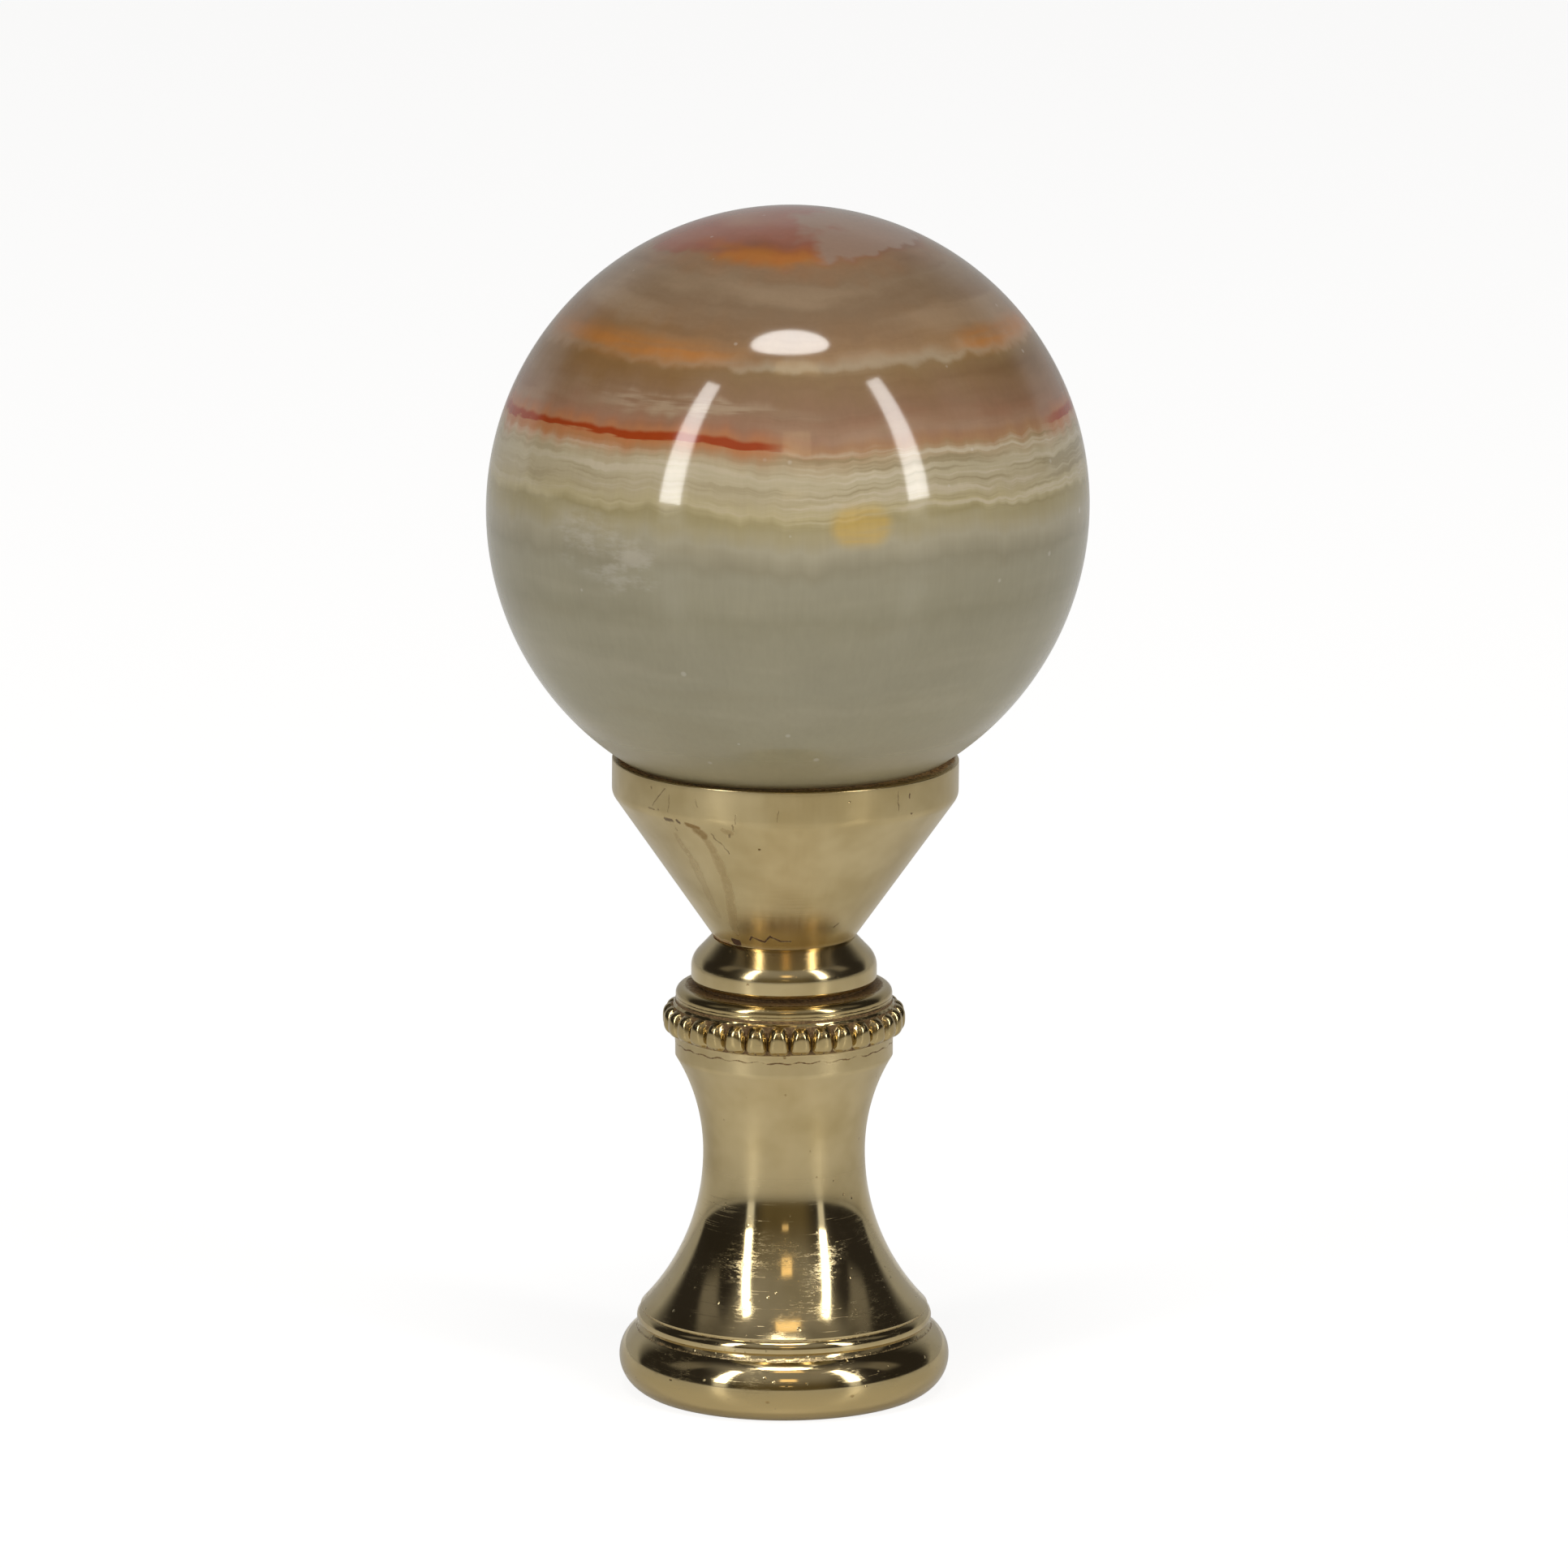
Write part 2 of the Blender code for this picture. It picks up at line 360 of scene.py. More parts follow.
def make_lamp(name, place, aim, width, height, shape="RECTANGLE"):
    """A flat lamp that gives the same light from every part of its face, turned towards the aim."""
    data = bpy.data.lights.new(name, "AREA")
    data.shape = shape
    data.size = width
    data.size_y = height
    data.energy = LAMP_LIGHT * pi * width * height
    data.color = LAMP_COLOUR
    lamp = bpy.data.objects.new(name, data)
    lamp.location = place
    lamp.rotation_euler = (Vector(aim) - Vector(place)).to_track_quat("-Z", "Y").to_euler()
    lamp.visible_camera = False
    bpy.context.scene.collection.objects.link(lamp)


for name, turn_deg in zip(("strip_left", "strip_right"), STRIP_TURNS_DEG):
    turn_angle = radians(turn_deg)
    middle = (STRIP_LOW + STRIP_HIGH) / 2
    place = (STRIP_DISTANCE * sin(turn_angle), -STRIP_DISTANCE * cos(turn_angle), middle)
    make_lamp(name, place, (0.0, 0.0, middle), STRIP_WIDTH, STRIP_HIGH - STRIP_LOW)
overhead = (0.0, -TOP_LAMP_FRONT, TOP_LAMP_HEIGHT)
make_lamp("top_lamp", overhead, (0.0, -TOP_LAMP_FRONT, 0.0), *TOP_LAMP_SIZE, "ELLIPSE")

# %% [markdown]
# ## Turned skins
# Everything but the beads is round about an axis, so its form is a profile turned about that axis. A skin
# is built from rings of points, each ring joined to the next. A ring may hold twice as many points as its
# neighbour, so that the beads get a fine mesh and the plain parts a coarser one, with no gap between.
# The skin also carries a number at each point, for grime and painted shade, that the brass shader reads to
# know where dirt has settled and, at the left of the cup's seam and on the bead tops, where shade is painted.
# It is worked out with the shape, because dirt lies where the shape is hollow.

# %% Rings and skins
PLAIN_FACETS = 256
TURN_START = -pi / 2
ON_AXIS = 1e-6


def arc(centre_r, centre_z, radius, start_deg, end_deg, steps):
    """Points of an arc in the profile plane, angles measured up from the outward direction."""
    angles = [radians(start_deg + (end_deg - start_deg) * i / steps) for i in range(steps + 1)]
    return [(centre_r + radius * cos(a), centre_z + radius * sin(a)) for a in angles]


def turn_angles(facets=PLAIN_FACETS):
    return [TURN_START + 2 * pi * i / facets for i in range(facets)]


def point_at(r, angle, z, grime_and_shade=0.0):
    """A point in millimetres with its grime and shade, from how far out it is, which way round and how high.
    """
    return (r * cos(angle), r * sin(angle), z, grime_and_shade)


def clamped(value):
    return max(0.0, min(1.0, value))


def plain_ring(r, z, facets=PLAIN_FACETS, grime_and_shade=0.0):
    """One ring of points, or a single point on the axis."""
    if r < ON_AXIS:
        return [point_at(0.0, 0.0, z, grime_and_shade)]
    return [point_at(r, angle, z, grime_and_shade) for angle in turn_angles(facets)]


def join_rings(first, first_start, second, second_start):
    """Faces between two rings, from the lower or inner one to the upper or outer one."""

    def near(i):
        return first_start + i % len(first)

    def far(i):
        return second_start + i % len(second)

    few, many = sorted((len(first), len(second)))
    faces = []
    for i in range(many if few == 1 else few):
        if few == many:
            faces.append((near(i), near(i + 1), far(i + 1), far(i)))
        elif len(first) == 1:
            faces.append((near(0), far(i + 1), far(i)))
        elif len(second) == 1:
            faces.append((near(i), near(i + 1), far(0)))
        elif len(second) == many:
            faces.append((near(i), far(2 * i + 1), far(2 * i)))
            faces.append((near(i), near(i + 1), far(2 * i + 1)))
            faces.append((near(i + 1), far(2 * i + 2), far(2 * i + 1)))
        else:
            faces.append((near(2 * i), near(2 * i + 1), far(i)))
            faces.append((near(2 * i + 1), far(i + 1), far(i)))
            faces.append((near(2 * i + 1), near(2 * i + 2), far(i + 1)))
    return faces


def make_skin(name, rings, crease_deg=50.0):
    """Joins rings of points in millimetres into one smooth-shaded object with its grime and painted shade."""
    starts = [0]
    for ring in rings:
        starts.append(starts[-1] + len(ring))
    faces = []
    for i in range(len(rings) - 1):
        faces += join_rings(rings[i], starts[i], rings[i + 1], starts[i + 1])
    points = [point for ring in rings for point in ring]
    mesh = bpy.data.meshes.new(name)
    mesh.from_pydata([(x * MM, y * MM, z * MM) for x, y, z, grime_and_shade in points], [], faces)
    settled = mesh.attributes.new("grime_and_shade", "FLOAT", "POINT")
    settled.data.foreach_set("value", [point[3] for point in points])
    mesh.shade_smooth()
    mesh.set_sharp_from_angle(angle=radians(crease_deg))
    mesh.update()
    piece = bpy.data.objects.new(name, mesh)
    bpy.context.scene.collection.objects.link(piece)
    triangles = sum(len(face) - 2 for face in faces)
    print(name, "points", len(points), "triangles", triangles)
    return piece


# %% [markdown]
# ## The base
# The base is one casting that was turned all over: a thick round foot, a small step, a stem of two
# hollow sweeps, a plain band, the shoulder and the knob. Its heights stack up from the underside, each
# on the one below, as a turner would mark them along the work.

# %% Base sizes
FOOT_STAND = 0.95
FOOT_ROUND = 1.84
FOOT_UNDERCUT_DEG = 63.0
FOOT_TOP_DEG = 58.0
STEP_STAND = 0.2
STEP_ROUND = 0.48
STEP_GROOVE_HEIGHT = 0.12
STEP_NOTCH_HEIGHT = 0.1
WAIST_R = 4.31
STEM_LOWER_HEIGHT = 8.43
STEM_LOWER_SWEEP = 12.29
STEM_UPPER_HEIGHT = 5.32
STEM_UPPER_SWEEP = 10.32
BAND_HEIGHT = 1.21
BEAD_HEIGHT = 1.52
SHOULDER_HEIGHT = 1.0
SHOULDER_DRAW_IN = 0.03
SHOULDER_ROUND = 0.42
GROOVE_HEIGHT = 0.17
GROOVE_DEPTH = 0.48
KNOB_SET_IN = 0.825
KNOB_EDGE_ROUND = 0.4
KNOB_SIDE_HEIGHT = 0.45
KNOB_CROWN = 1.24
KNOB_TOP_HEIGHT = 1.66
NECK_R = 3.83

FOOT_CENTRE_Z = FOOT_ROUND * sin(radians(FOOT_UNDERCUT_DEG))
STEP_GROOVE_Z = FOOT_CENTRE_Z + FOOT_ROUND * sin(radians(FOOT_TOP_DEG))
STEP_CENTRE_Z = STEP_GROOVE_Z + STEP_GROOVE_HEIGHT + STEP_ROUND
STEM_Z = STEP_CENTRE_Z + STEP_ROUND + STEP_NOTCH_HEIGHT
WAIST_Z = STEM_Z + STEM_LOWER_HEIGHT
BAND_Z = WAIST_Z + STEM_UPPER_HEIGHT
BEAD_LOW_Z = BAND_Z + BAND_HEIGHT
BEAD_TOP_Z = BEAD_LOW_Z + BEAD_HEIGHT
SHOULDER_TOP_Z = BEAD_TOP_Z + SHOULDER_HEIGHT
KNOB_Z = SHOULDER_TOP_Z + GROOVE_HEIGHT
KNOB_CENTRE_Z = KNOB_Z + KNOB_EDGE_ROUND + KNOB_SIDE_HEIGHT
KNOB_TOP_Z = KNOB_CENTRE_Z + KNOB_TOP_HEIGHT


def sweep_radius(height, sweep):
    """Radius of the stem at a height from the waist, on a hollow arc."""
    return WAIST_R + sweep - sqrt(sweep**2 - height**2)


STEP_R = sweep_radius(STEM_LOWER_HEIGHT, STEM_LOWER_SWEEP) + STEP_STAND
FOOT_CENTRE_R = STEP_R + FOOT_STAND - FOOT_ROUND
BAND_R = sweep_radius(STEM_UPPER_HEIGHT, STEM_UPPER_SWEEP)
SHOULDER_R = BAND_R - SHOULDER_DRAW_IN
KNOB_R = SHOULDER_R - KNOB_SET_IN
frame_foot_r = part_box("brass_base")[1].x / MM
print("foot radius here and in the frame:", round(FOOT_CENTRE_R + FOOT_ROUND, 3), round(frame_foot_r, 3))

# %% [markdown]
# ## The threaded socket
# The finial screws onto the threaded post of a lamp harp, so its underside has a socket with a common
# quarter inch thread of twenty-seven turns to the inch. A thread is one ridge that climbs as it goes
# round. Here the socket wall moves in and out by how far each point is along its turn.

# %% Socket rings
SOCKET_R = 3.175
SOCKET_DEPTH = 9.5
SOCKET_CHAMFER = 0.5
SOCKET_FACETS = 64
THREAD_PITCH = 25.4 / 27
THREAD_DEPTH = 0.45
THREAD_ROWS = 8
THREAD_GRIME = 0.55
SOCKET_ROOF_R = 1.5
SOCKET_ROOF_GRIME = 0.8


def thread_ring(z):
    """A ring of the socket's wall: the ridge stands in furthest once in each turn."""
    run_out = min(1.0, (z - SOCKET_CHAMFER) / THREAD_PITCH)
    points = []
    for i, angle in enumerate(turn_angles(SOCKET_FACETS)):
        along = (z / THREAD_PITCH - i / SOCKET_FACETS) % 1.0
        ridge = 1 - abs(2 * along - 1)
        points.append(point_at(SOCKET_R - THREAD_DEPTH * ridge * run_out, angle, z, THREAD_GRIME))
    return points


def socket_rings():
    """From the roof of the socket down its threaded wall and out over the flat underside."""
    rows = int((SOCKET_DEPTH - SOCKET_CHAMFER) / THREAD_PITCH * THREAD_ROWS)
    step = (SOCKET_DEPTH - SOCKET_CHAMFER) / rows
    rings = [plain_ring(0.0, SOCKET_DEPTH, grime_and_shade=SOCKET_ROOF_GRIME)]
    rings.append(plain_ring(SOCKET_ROOF_R, SOCKET_DEPTH, SOCKET_FACETS, SOCKET_ROOF_GRIME))
    rings += [thread_ring(SOCKET_DEPTH - step * i) for i in range(rows + 1)]
    chamfer_r = SOCKET_R + SOCKET_CHAMFER
    rings.append(plain_ring(chamfer_r, 0.0, SOCKET_FACETS, 0.3))
    flat_r = FOOT_CENTRE_R + FOOT_ROUND * cos(radians(FOOT_UNDERCUT_DEG))
    for share, facets in ((0.25, 64), (0.5, 128), (0.75, 256)):
        rings.append(plain_ring(chamfer_r + (flat_r - chamfer_r) * share, 0.0, facets, 0.15))
    return rings


print("thread turns in the socket:", round((SOCKET_DEPTH - SOCKET_CHAMFER) / THREAD_PITCH, 1))

# %% [markdown]
# ## Foot, step and stem
# The two ends of the stem spread in hollow sweeps, so the width at each height comes from a
# circle. The small step between the stem and the foot is a half-round bead with a fine notch above and
# below, and old polish has dried in both notches.

# %% Lower profile
FOOT_ROWS = 44
STEP_ROWS = 16
STEP_LOW_DEG = -42
STEP_TOP_DEG = 56
LOWER_STEM_ROWS = 48
UPPER_STEM_ROWS = 26


def lower_profile():
    """(r, z, grime) from the underside to the end of the stem."""
    foot = arc(FOOT_CENTRE_R, FOOT_CENTRE_Z, FOOT_ROUND, -FOOT_UNDERCUT_DEG, FOOT_TOP_DEG, FOOT_ROWS)
    step = arc(STEP_R - STEP_ROUND, STEP_CENTRE_Z, STEP_ROUND, STEP_LOW_DEG, STEP_TOP_DEG, STEP_ROWS)
    points = [(r, z, 0.0) for r, z in foot]
    points.append((foot[-1][0] - 0.05, foot[-1][1] + 0.04, 0.45))
    points += [(r, z, 0.0) for r, z in step]
    points.append((step[-1][0] - 0.04, step[-1][1] + 0.03, 0.40))
    for i in range(LOWER_STEM_ROWS + 1):
        height = STEM_LOWER_HEIGHT * (i / LOWER_STEM_ROWS - 1)
        points.append((sweep_radius(height, STEM_LOWER_SWEEP), WAIST_Z + height, 0.0))
    for i in range(1, UPPER_STEM_ROWS + 1):
        height = STEM_UPPER_HEIGHT * i / UPPER_STEM_ROWS
        points.append((sweep_radius(height, STEM_UPPER_SWEEP), WAIST_Z + height, 0.0))
    return points


print("rows in the lower profile:", len(lower_profile()))

# %% [markdown]
# ## The beaded collar
# The beads were rolled into the band with a wheel, so each is an egg with upright sides, the metal
# between them is pressed in, and a thin burr was raised above and below. The collar is a skin whose
# radius at each angle and height is worked out from how far the point lies from its bead's middle.

# %% Collar rings
BEAD_COUNT = 32
BEAD_FACETS = 16
BEAD_STAND = 0.66
BEAD_TURN_DEG = -2.8
BEAD_WIDE = 0.575
BEAD_NARROW = 0.36
BEAD_FOOT_DRAW_IN = 0.20
BEAD_WIDE_AT = -0.35
BEAD_LOW_SQUARE = 3.4
BEAD_TOP_SQUARE = 1.9
NICK_WIDTH = 0.11
NICK_HEIGHT = 0.24
VALLEY_RISE = 0.10
BURR_Z = BAND_Z + 0.80
BURR_STAND = 0.02
LIP_STAND = 0.08
LIP_HEIGHT = 0.16
COLLAR_ROWS = 50
COLLAR_LOW_Z = BAND_Z + 0.55
COLLAR_TOP_Z = BEAD_TOP_Z + 0.28


def ragged(angle, z, size, seed):
    """Even noise between -1 and 1 round the work, with features of about the given size."""
    place = Vector((BAND_R * cos(angle), BAND_R * sin(angle), z)) / size
    return noise.noise(place + Vector((seed, 0.0, 0.0)))


def hump(value):
    """A rounded hump, 1 at zero and 0 from one away."""
    return max(0.0, 1 - value**2)


def bead_swell(across, up):
    """How far a bead stands out, as a share: flat and wide low down, round and narrower at its top."""
    higher = clamped((up - BEAD_WIDE_AT) / (1 - BEAD_WIDE_AT))
    lower = clamped((BEAD_WIDE_AT - up) / (1 + BEAD_WIDE_AT))
    half_width = BEAD_WIDE + (BEAD_NARROW - BEAD_WIDE) * higher**2 - BEAD_FOOT_DRAW_IN * lower**3
    square = BEAD_LOW_SQUARE + (BEAD_TOP_SQUARE - BEAD_LOW_SQUARE) * higher
    over = max(0.0, 1 - (abs(across) / half_width) ** square)
    upright = max(0.0, 1 - abs(up) ** 3)
    return sqrt(over * upright)


def collar_point(angle, z):
    """Radius and grime of the beaded collar, with a painted dark reflection on the bead tops."""
    pitch = 2 * pi / BEAD_COUNT
    start = TURN_START + radians(BEAD_TURN_DEG)
    share = (angle - start) / pitch
    nearest = round(share)
    across = (share - nearest) * pitch * (BAND_R + 0.1) + 0.025 * ragged(nearest * pitch, 6.0, 0.5, 41.0)
    half_height = BEAD_HEIGHT / 2 * (1 + 0.05 * ragged(nearest * pitch, 0.0, 0.7, 3.0))
    up = (z - BEAD_LOW_Z - BEAD_HEIGHT / 2) / half_height
    in_beads = clamped((1.08 - abs(up)) / 0.12)
    r = BAND_R + VALLEY_RISE * in_beads
    grime_and_shade = 0.90 * in_beads
    wave = 0.04 * cos(share * 2 * pi) + 0.06 * ragged(angle, 1.0, 1.1, 7.0)
    burr = (z - BURR_Z - wave) / 0.08
    r += BURR_STAND * clamped(burr + 0.5)
    grime_and_shade = max(grime_and_shade, 0.75 * hump((burr + 0.4) / 0.8) * (0.8 + 0.5 * ragged(angle, 4.0, 0.6, 43.0)))
    lip_wave = 0.04 * ragged(angle, 2.0, 0.5, 11.0)
    lip = (z - BEAD_TOP_Z - 0.05 - lip_wave) / (LIP_HEIGHT / 2)
    between = 0.5 - 0.5 * cos(share * 2 * pi)
    r += LIP_STAND * (0.45 + 0.55 * between + 0.5 * ragged(angle, 3.0, 0.35, 17.0)) * hump(lip)
    grime_and_shade = max(grime_and_shade, 0.5 * hump((z - BEAD_TOP_Z + 0.10) / 0.16))
    if z > BEAD_TOP_Z:
        r += (SHOULDER_R - BAND_R) * min(1.0, (z - BEAD_TOP_Z) / 0.2)
    swell = bead_swell(across, up)
    bead_r = BAND_R + BEAD_STAND * swell
    if bead_r > r:
        r = bead_r
        nick = max(0.0, 1 - abs(across) / NICK_WIDTH - (up + 1.0) * half_height / NICK_HEIGHT)
        # Painted dark reflection: the tops of the beads are dulled and browned where they face the dim room.
        painted_dark_top = 0.40 * clamped((up - 0.30) / 0.3) * max(0.0, 1 - abs(across) / 0.16)
        grime_and_shade = max(0.90 * (1 - min(1.0, swell / 0.45)), min(0.9, 3.0 * nick), painted_dark_top)
    return r, grime_and_shade


def collar_ring(z):
    points = []
    for angle in turn_angles(BEAD_COUNT * BEAD_FACETS):
        r, grime_and_shade = collar_point(angle, z)
        points.append(point_at(r, angle, z, grime_and_shade))
    return points


def collar_rings():
    rise_step = (COLLAR_TOP_Z - COLLAR_LOW_Z) / COLLAR_ROWS
    return [collar_ring(COLLAR_LOW_Z + rise_step * i) for i in range(COLLAR_ROWS + 1)]


print("bead pitch in mm:", round(2 * pi * BAND_R / BEAD_COUNT, 3))

# %% [markdown]
# ## Shoulder and knob
# Above the beads the collar ends in a plain rounded shoulder with two fine turned lines. The knob sits on
# it over a deep narrow groove. Polish and wax have dried brown on the top of the shoulder, where a cloth
# doesn't reach, so that ground is rough and carries grime.

# %% Upper rings
SHOULDER_ROWS = 12
KNOB_EDGE_ROWS = 10
KNOB_CROWN_ROWS = 22
TURNED_LINES_Z = (BEAD_TOP_Z + 0.34, BEAD_TOP_Z + 0.50)
TURNED_LINE_DEPTH = 0.018
TURNED_LINE_REACH = 0.03
TURNED_LINE_GRIME = 0.38
CRUST_HEIGHT = 0.03
CRUST_ROWS = 7
SLOPE_ROWS = 6
SEAM_TOP_Z = KNOB_TOP_Z + 0.09


def crusty_ring(r, z, grime_and_shade):
    """A ring where dried polish has built up unevenly."""
    points = []
    for angle in turn_angles():
        lift = CRUST_HEIGHT * grime_and_shade * (0.5 + ragged(angle, r, 0.35, 23.0))
        points.append(point_at(r, angle, z + lift, grime_and_shade))
    return points


def shoulder_rings():
    rings = []
    for line_z in TURNED_LINES_Z:
        rings.append(plain_ring(SHOULDER_R, line_z - TURNED_LINE_REACH))
        rings.append(plain_ring(SHOULDER_R - TURNED_LINE_DEPTH, line_z, grime_and_shade=TURNED_LINE_GRIME))
        rings.append(plain_ring(SHOULDER_R, line_z + TURNED_LINE_REACH))
    crust_r = SHOULDER_R - SHOULDER_ROUND
    round_z = SHOULDER_TOP_Z - SHOULDER_ROUND
    rings += [plain_ring(r, z) for r, z in arc(crust_r, round_z, SHOULDER_ROUND, 0, 82, SHOULDER_ROWS)]
    floor_r = KNOB_R - GROOVE_DEPTH
    for i in range(1, CRUST_ROWS + 1):
        share = i / CRUST_ROWS
        r = crust_r + (floor_r - crust_r) * share
        rings.append(crusty_ring(r, SHOULDER_TOP_Z, min(1.0, 0.38 + 0.5 * share)))
    return rings


def knob_rings():
    inward = NECK_R - (KNOB_R - KNOB_CROWN)
    reach = hypot(inward, KNOB_TOP_HEIGHT)
    round_end = degrees(atan2(KNOB_TOP_HEIGHT, inward) - acos(KNOB_CROWN / reach))
    edge = arc(KNOB_R - KNOB_EDGE_ROUND, KNOB_Z + KNOB_EDGE_ROUND, KNOB_EDGE_ROUND, -90, 0, KNOB_EDGE_ROWS)
    upper = arc(KNOB_R - KNOB_CROWN, KNOB_CENTRE_Z, KNOB_CROWN, 0, round_end, KNOB_CROWN_ROWS)
    end_r, end_z = upper[-1]
    slope = [(end_r + (NECK_R - end_r) * i / SLOPE_ROWS, end_z + (KNOB_TOP_Z - end_z) * i / SLOPE_ROWS)
             for i in range(1, SLOPE_ROWS + 1)]
    rings = [plain_ring(KNOB_R - GROOVE_DEPTH, KNOB_Z - 0.02, grime_and_shade=1.0)]
    rings += [plain_ring(r, z, grime_and_shade=max(0.0, 0.9 - (z - KNOB_Z) / 0.16)) for r, z in edge]
    rings += [plain_ring(r, z) for r, z in upper[1:] + slope]
    rings.append(plain_ring(NECK_R - 0.04, KNOB_TOP_Z + 0.015))
    rings.append(plain_ring(NECK_R - 0.35, SEAM_TOP_Z, grime_and_shade=1.0))
    rings.append(plain_ring(0.0, SEAM_TOP_Z, grime_and_shade=1.0))
    return rings


def base_rings():
    rings = socket_rings()
    rings += [plain_ring(r, z, grime_and_shade=grime_and_shade) for r, z, grime_and_shade in lower_profile()]
    band_steps = 4
    for i in range(1, band_steps + 1):
        rings.append(plain_ring(BAND_R, BAND_Z + (COLLAR_LOW_Z - BAND_Z - 0.04) * i / band_steps))
    return rings + collar_rings() + shoulder_rings() + knob_rings()


base = make_skin("base", base_rings())
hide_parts("brass_base")
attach(base, "root")

# %% [markdown]
# ## The ball
# A sawn and ground onyx ball is never quite round. This one is about one percent longer along a slant
# than across it, which is enough to see against a true circle. It is a ball of latitude and longitude rings
# with its radius changed by direction. The cup's seat is cut to the same form, so ball_surface is kept
# as a function that both can ask.

# %% Ball surface
BALL_R = 15.875
BALL_OVAL = 0.0054
BALL_RINGS = 120

ball_low, ball_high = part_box("onyx_ball")
ball_centre = (ball_low + ball_high) / 2 / MM


def ball_surface(direction, gap=0.0):
    """The point of the ball's surface, or one that stands off it by the gap, in a unit direction."""
    long_way = (direction.x + direction.z) / sqrt(2)
    short_way = (direction.z - direction.x) / sqrt(2)
    oval = BALL_OVAL * (long_way**2 - short_way**2)
    return ball_centre + direction * (BALL_R * (1 + oval) + gap)


def heading(polar, angle):
    """The unit direction at an angle from straight down and an angle round the axis."""
    return Vector((sin(polar) * cos(angle), sin(polar) * sin(angle), -cos(polar)))


def ball_ring(polar):
    """A ring of the ball at an angle from straight down."""
    if polar < ON_AXIS or polar > pi - ON_AXIS:
        return [(*ball_surface(Vector((0.0, 0.0, -cos(polar)))), 0.0)]
    return [(*ball_surface(heading(polar, angle)), 0.0) for angle in turn_angles()]


ball = make_skin("ball", [ball_ring(pi * i / BALL_RINGS) for i in range(BALL_RINGS + 1)])
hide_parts("onyx_ball")
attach(ball, "root")
print("ball centre in mm:", [round(value, 3) for value in ball_centre])

# %% [markdown]
# ## The cup
# The cup is a plain cone with an upright lip. Its rim is a narrow flat land that the ball sits just
# inside, stuck with a brown cement that has crept out unevenly. The cup and ball lean half a degree to
# one side, as they were glued, so the cup's rings are made upright and then leaned about the neck.

# %% Cup rings
CUP_R = 9.175
CUP_LIP_HEIGHT = 1.87
CUP_CORNER_ROUND = 0.8
CUP_CONE_HEIGHT = 7.53
CUP_NECK_GAP = 0.25
CUP_SEAM = 0.02
CUP_EDGE_ROUND = 0.05
CUP_RIM_ROUND = 0.07
CUP_LEAN = Matrix.Rotation(radians(0.5), 3, "Y")
SEAT_GAP = 0.012
SEAT_CLEAR = 0.05
SEAT_ROWS = 12
LAND_ROWS = 6
CEMENT_HEIGHT = 0.13
RIM_DIRT = 0.62
CUP_CONE_ROWS = 30
CUP_LIP_ROWS = 6

cup_foot = Vector((0.0, 0.0, KNOB_TOP_Z + CUP_NECK_GAP))


def leaned(r, angle, z, grime_and_shade=0.0):
    """A point of the cup, from its own upright place to where it stands."""
    point = cup_foot + CUP_LEAN @ Vector((r * cos(angle), r * sin(angle), z))
    return (*point, grime_and_shade)


def cup_ring(r, z, grime_and_shade=0.0):
    if r < ON_AXIS:
        return [leaned(0.0, 0.0, z, grime_and_shade)]
    return [leaned(r, angle, z, grime_and_shade) for angle in turn_angles()]


def seam_ring(r, z):
    """A ring at the neck, darkened at the left and behind: dirt in the seam, and at the left painted shadow
    of the gap where the leaning cup overhangs the knob.
    """
    points = []
    for angle in turn_angles():
        away = max(-cos(angle) - 0.55, sin(angle) - 0.2)
        points.append(leaned(r, angle, z, clamped(2.5 * away + 0.3 * ragged(angle, z, 0.8, 13.0))))
    return points


def cement_share(angle):
    """How much cement shows at the rim: a lot at both sides, little in front."""
    side = abs(cos(angle))
    return clamped(side**4 * 1.1 + 0.45 * ragged(angle, 5.0, 1.6, 31.0))


def seat_ring(polar):
    """A ring of the hidden seat, which follows the ball, at an angle from straight down."""
    gap = SEAT_GAP + SEAT_CLEAR
    return [(*ball_surface(heading(polar, angle), gap), 1.0) for angle in turn_angles()]


def land_ring(share):
    """A ring of the flat land between the rim's edge and the ball, higher where the cement has crept."""
    points = []
    for angle in turn_angles():
        outer = Vector(leaned(CUP_R - CUP_RIM_ROUND, angle, CUP_RIM_Z)[:3])
        inner = ball_surface(heading(rim_polar, angle), SEAT_GAP)
        cement = cement_share(angle)
        point = outer.lerp(inner, share)
        lift = CEMENT_HEIGHT * cement * share**2 * (0.6 + 0.5 * ragged(angle, 9.0, 0.4, 37.0))
        grime_and_shade = max(cement * min(1.0, share * 1.6), RIM_DIRT * share)
        points.append((point.x, point.y, point.z + lift, grime_and_shade))
    return points


CUP_RIM_Z = CUP_CONE_HEIGHT + CUP_LIP_HEIGHT
rim_height = (cup_foot.z + CUP_RIM_Z - ball_centre.z) / (BALL_R + SEAT_GAP)
rim_polar = acos(-rim_height)


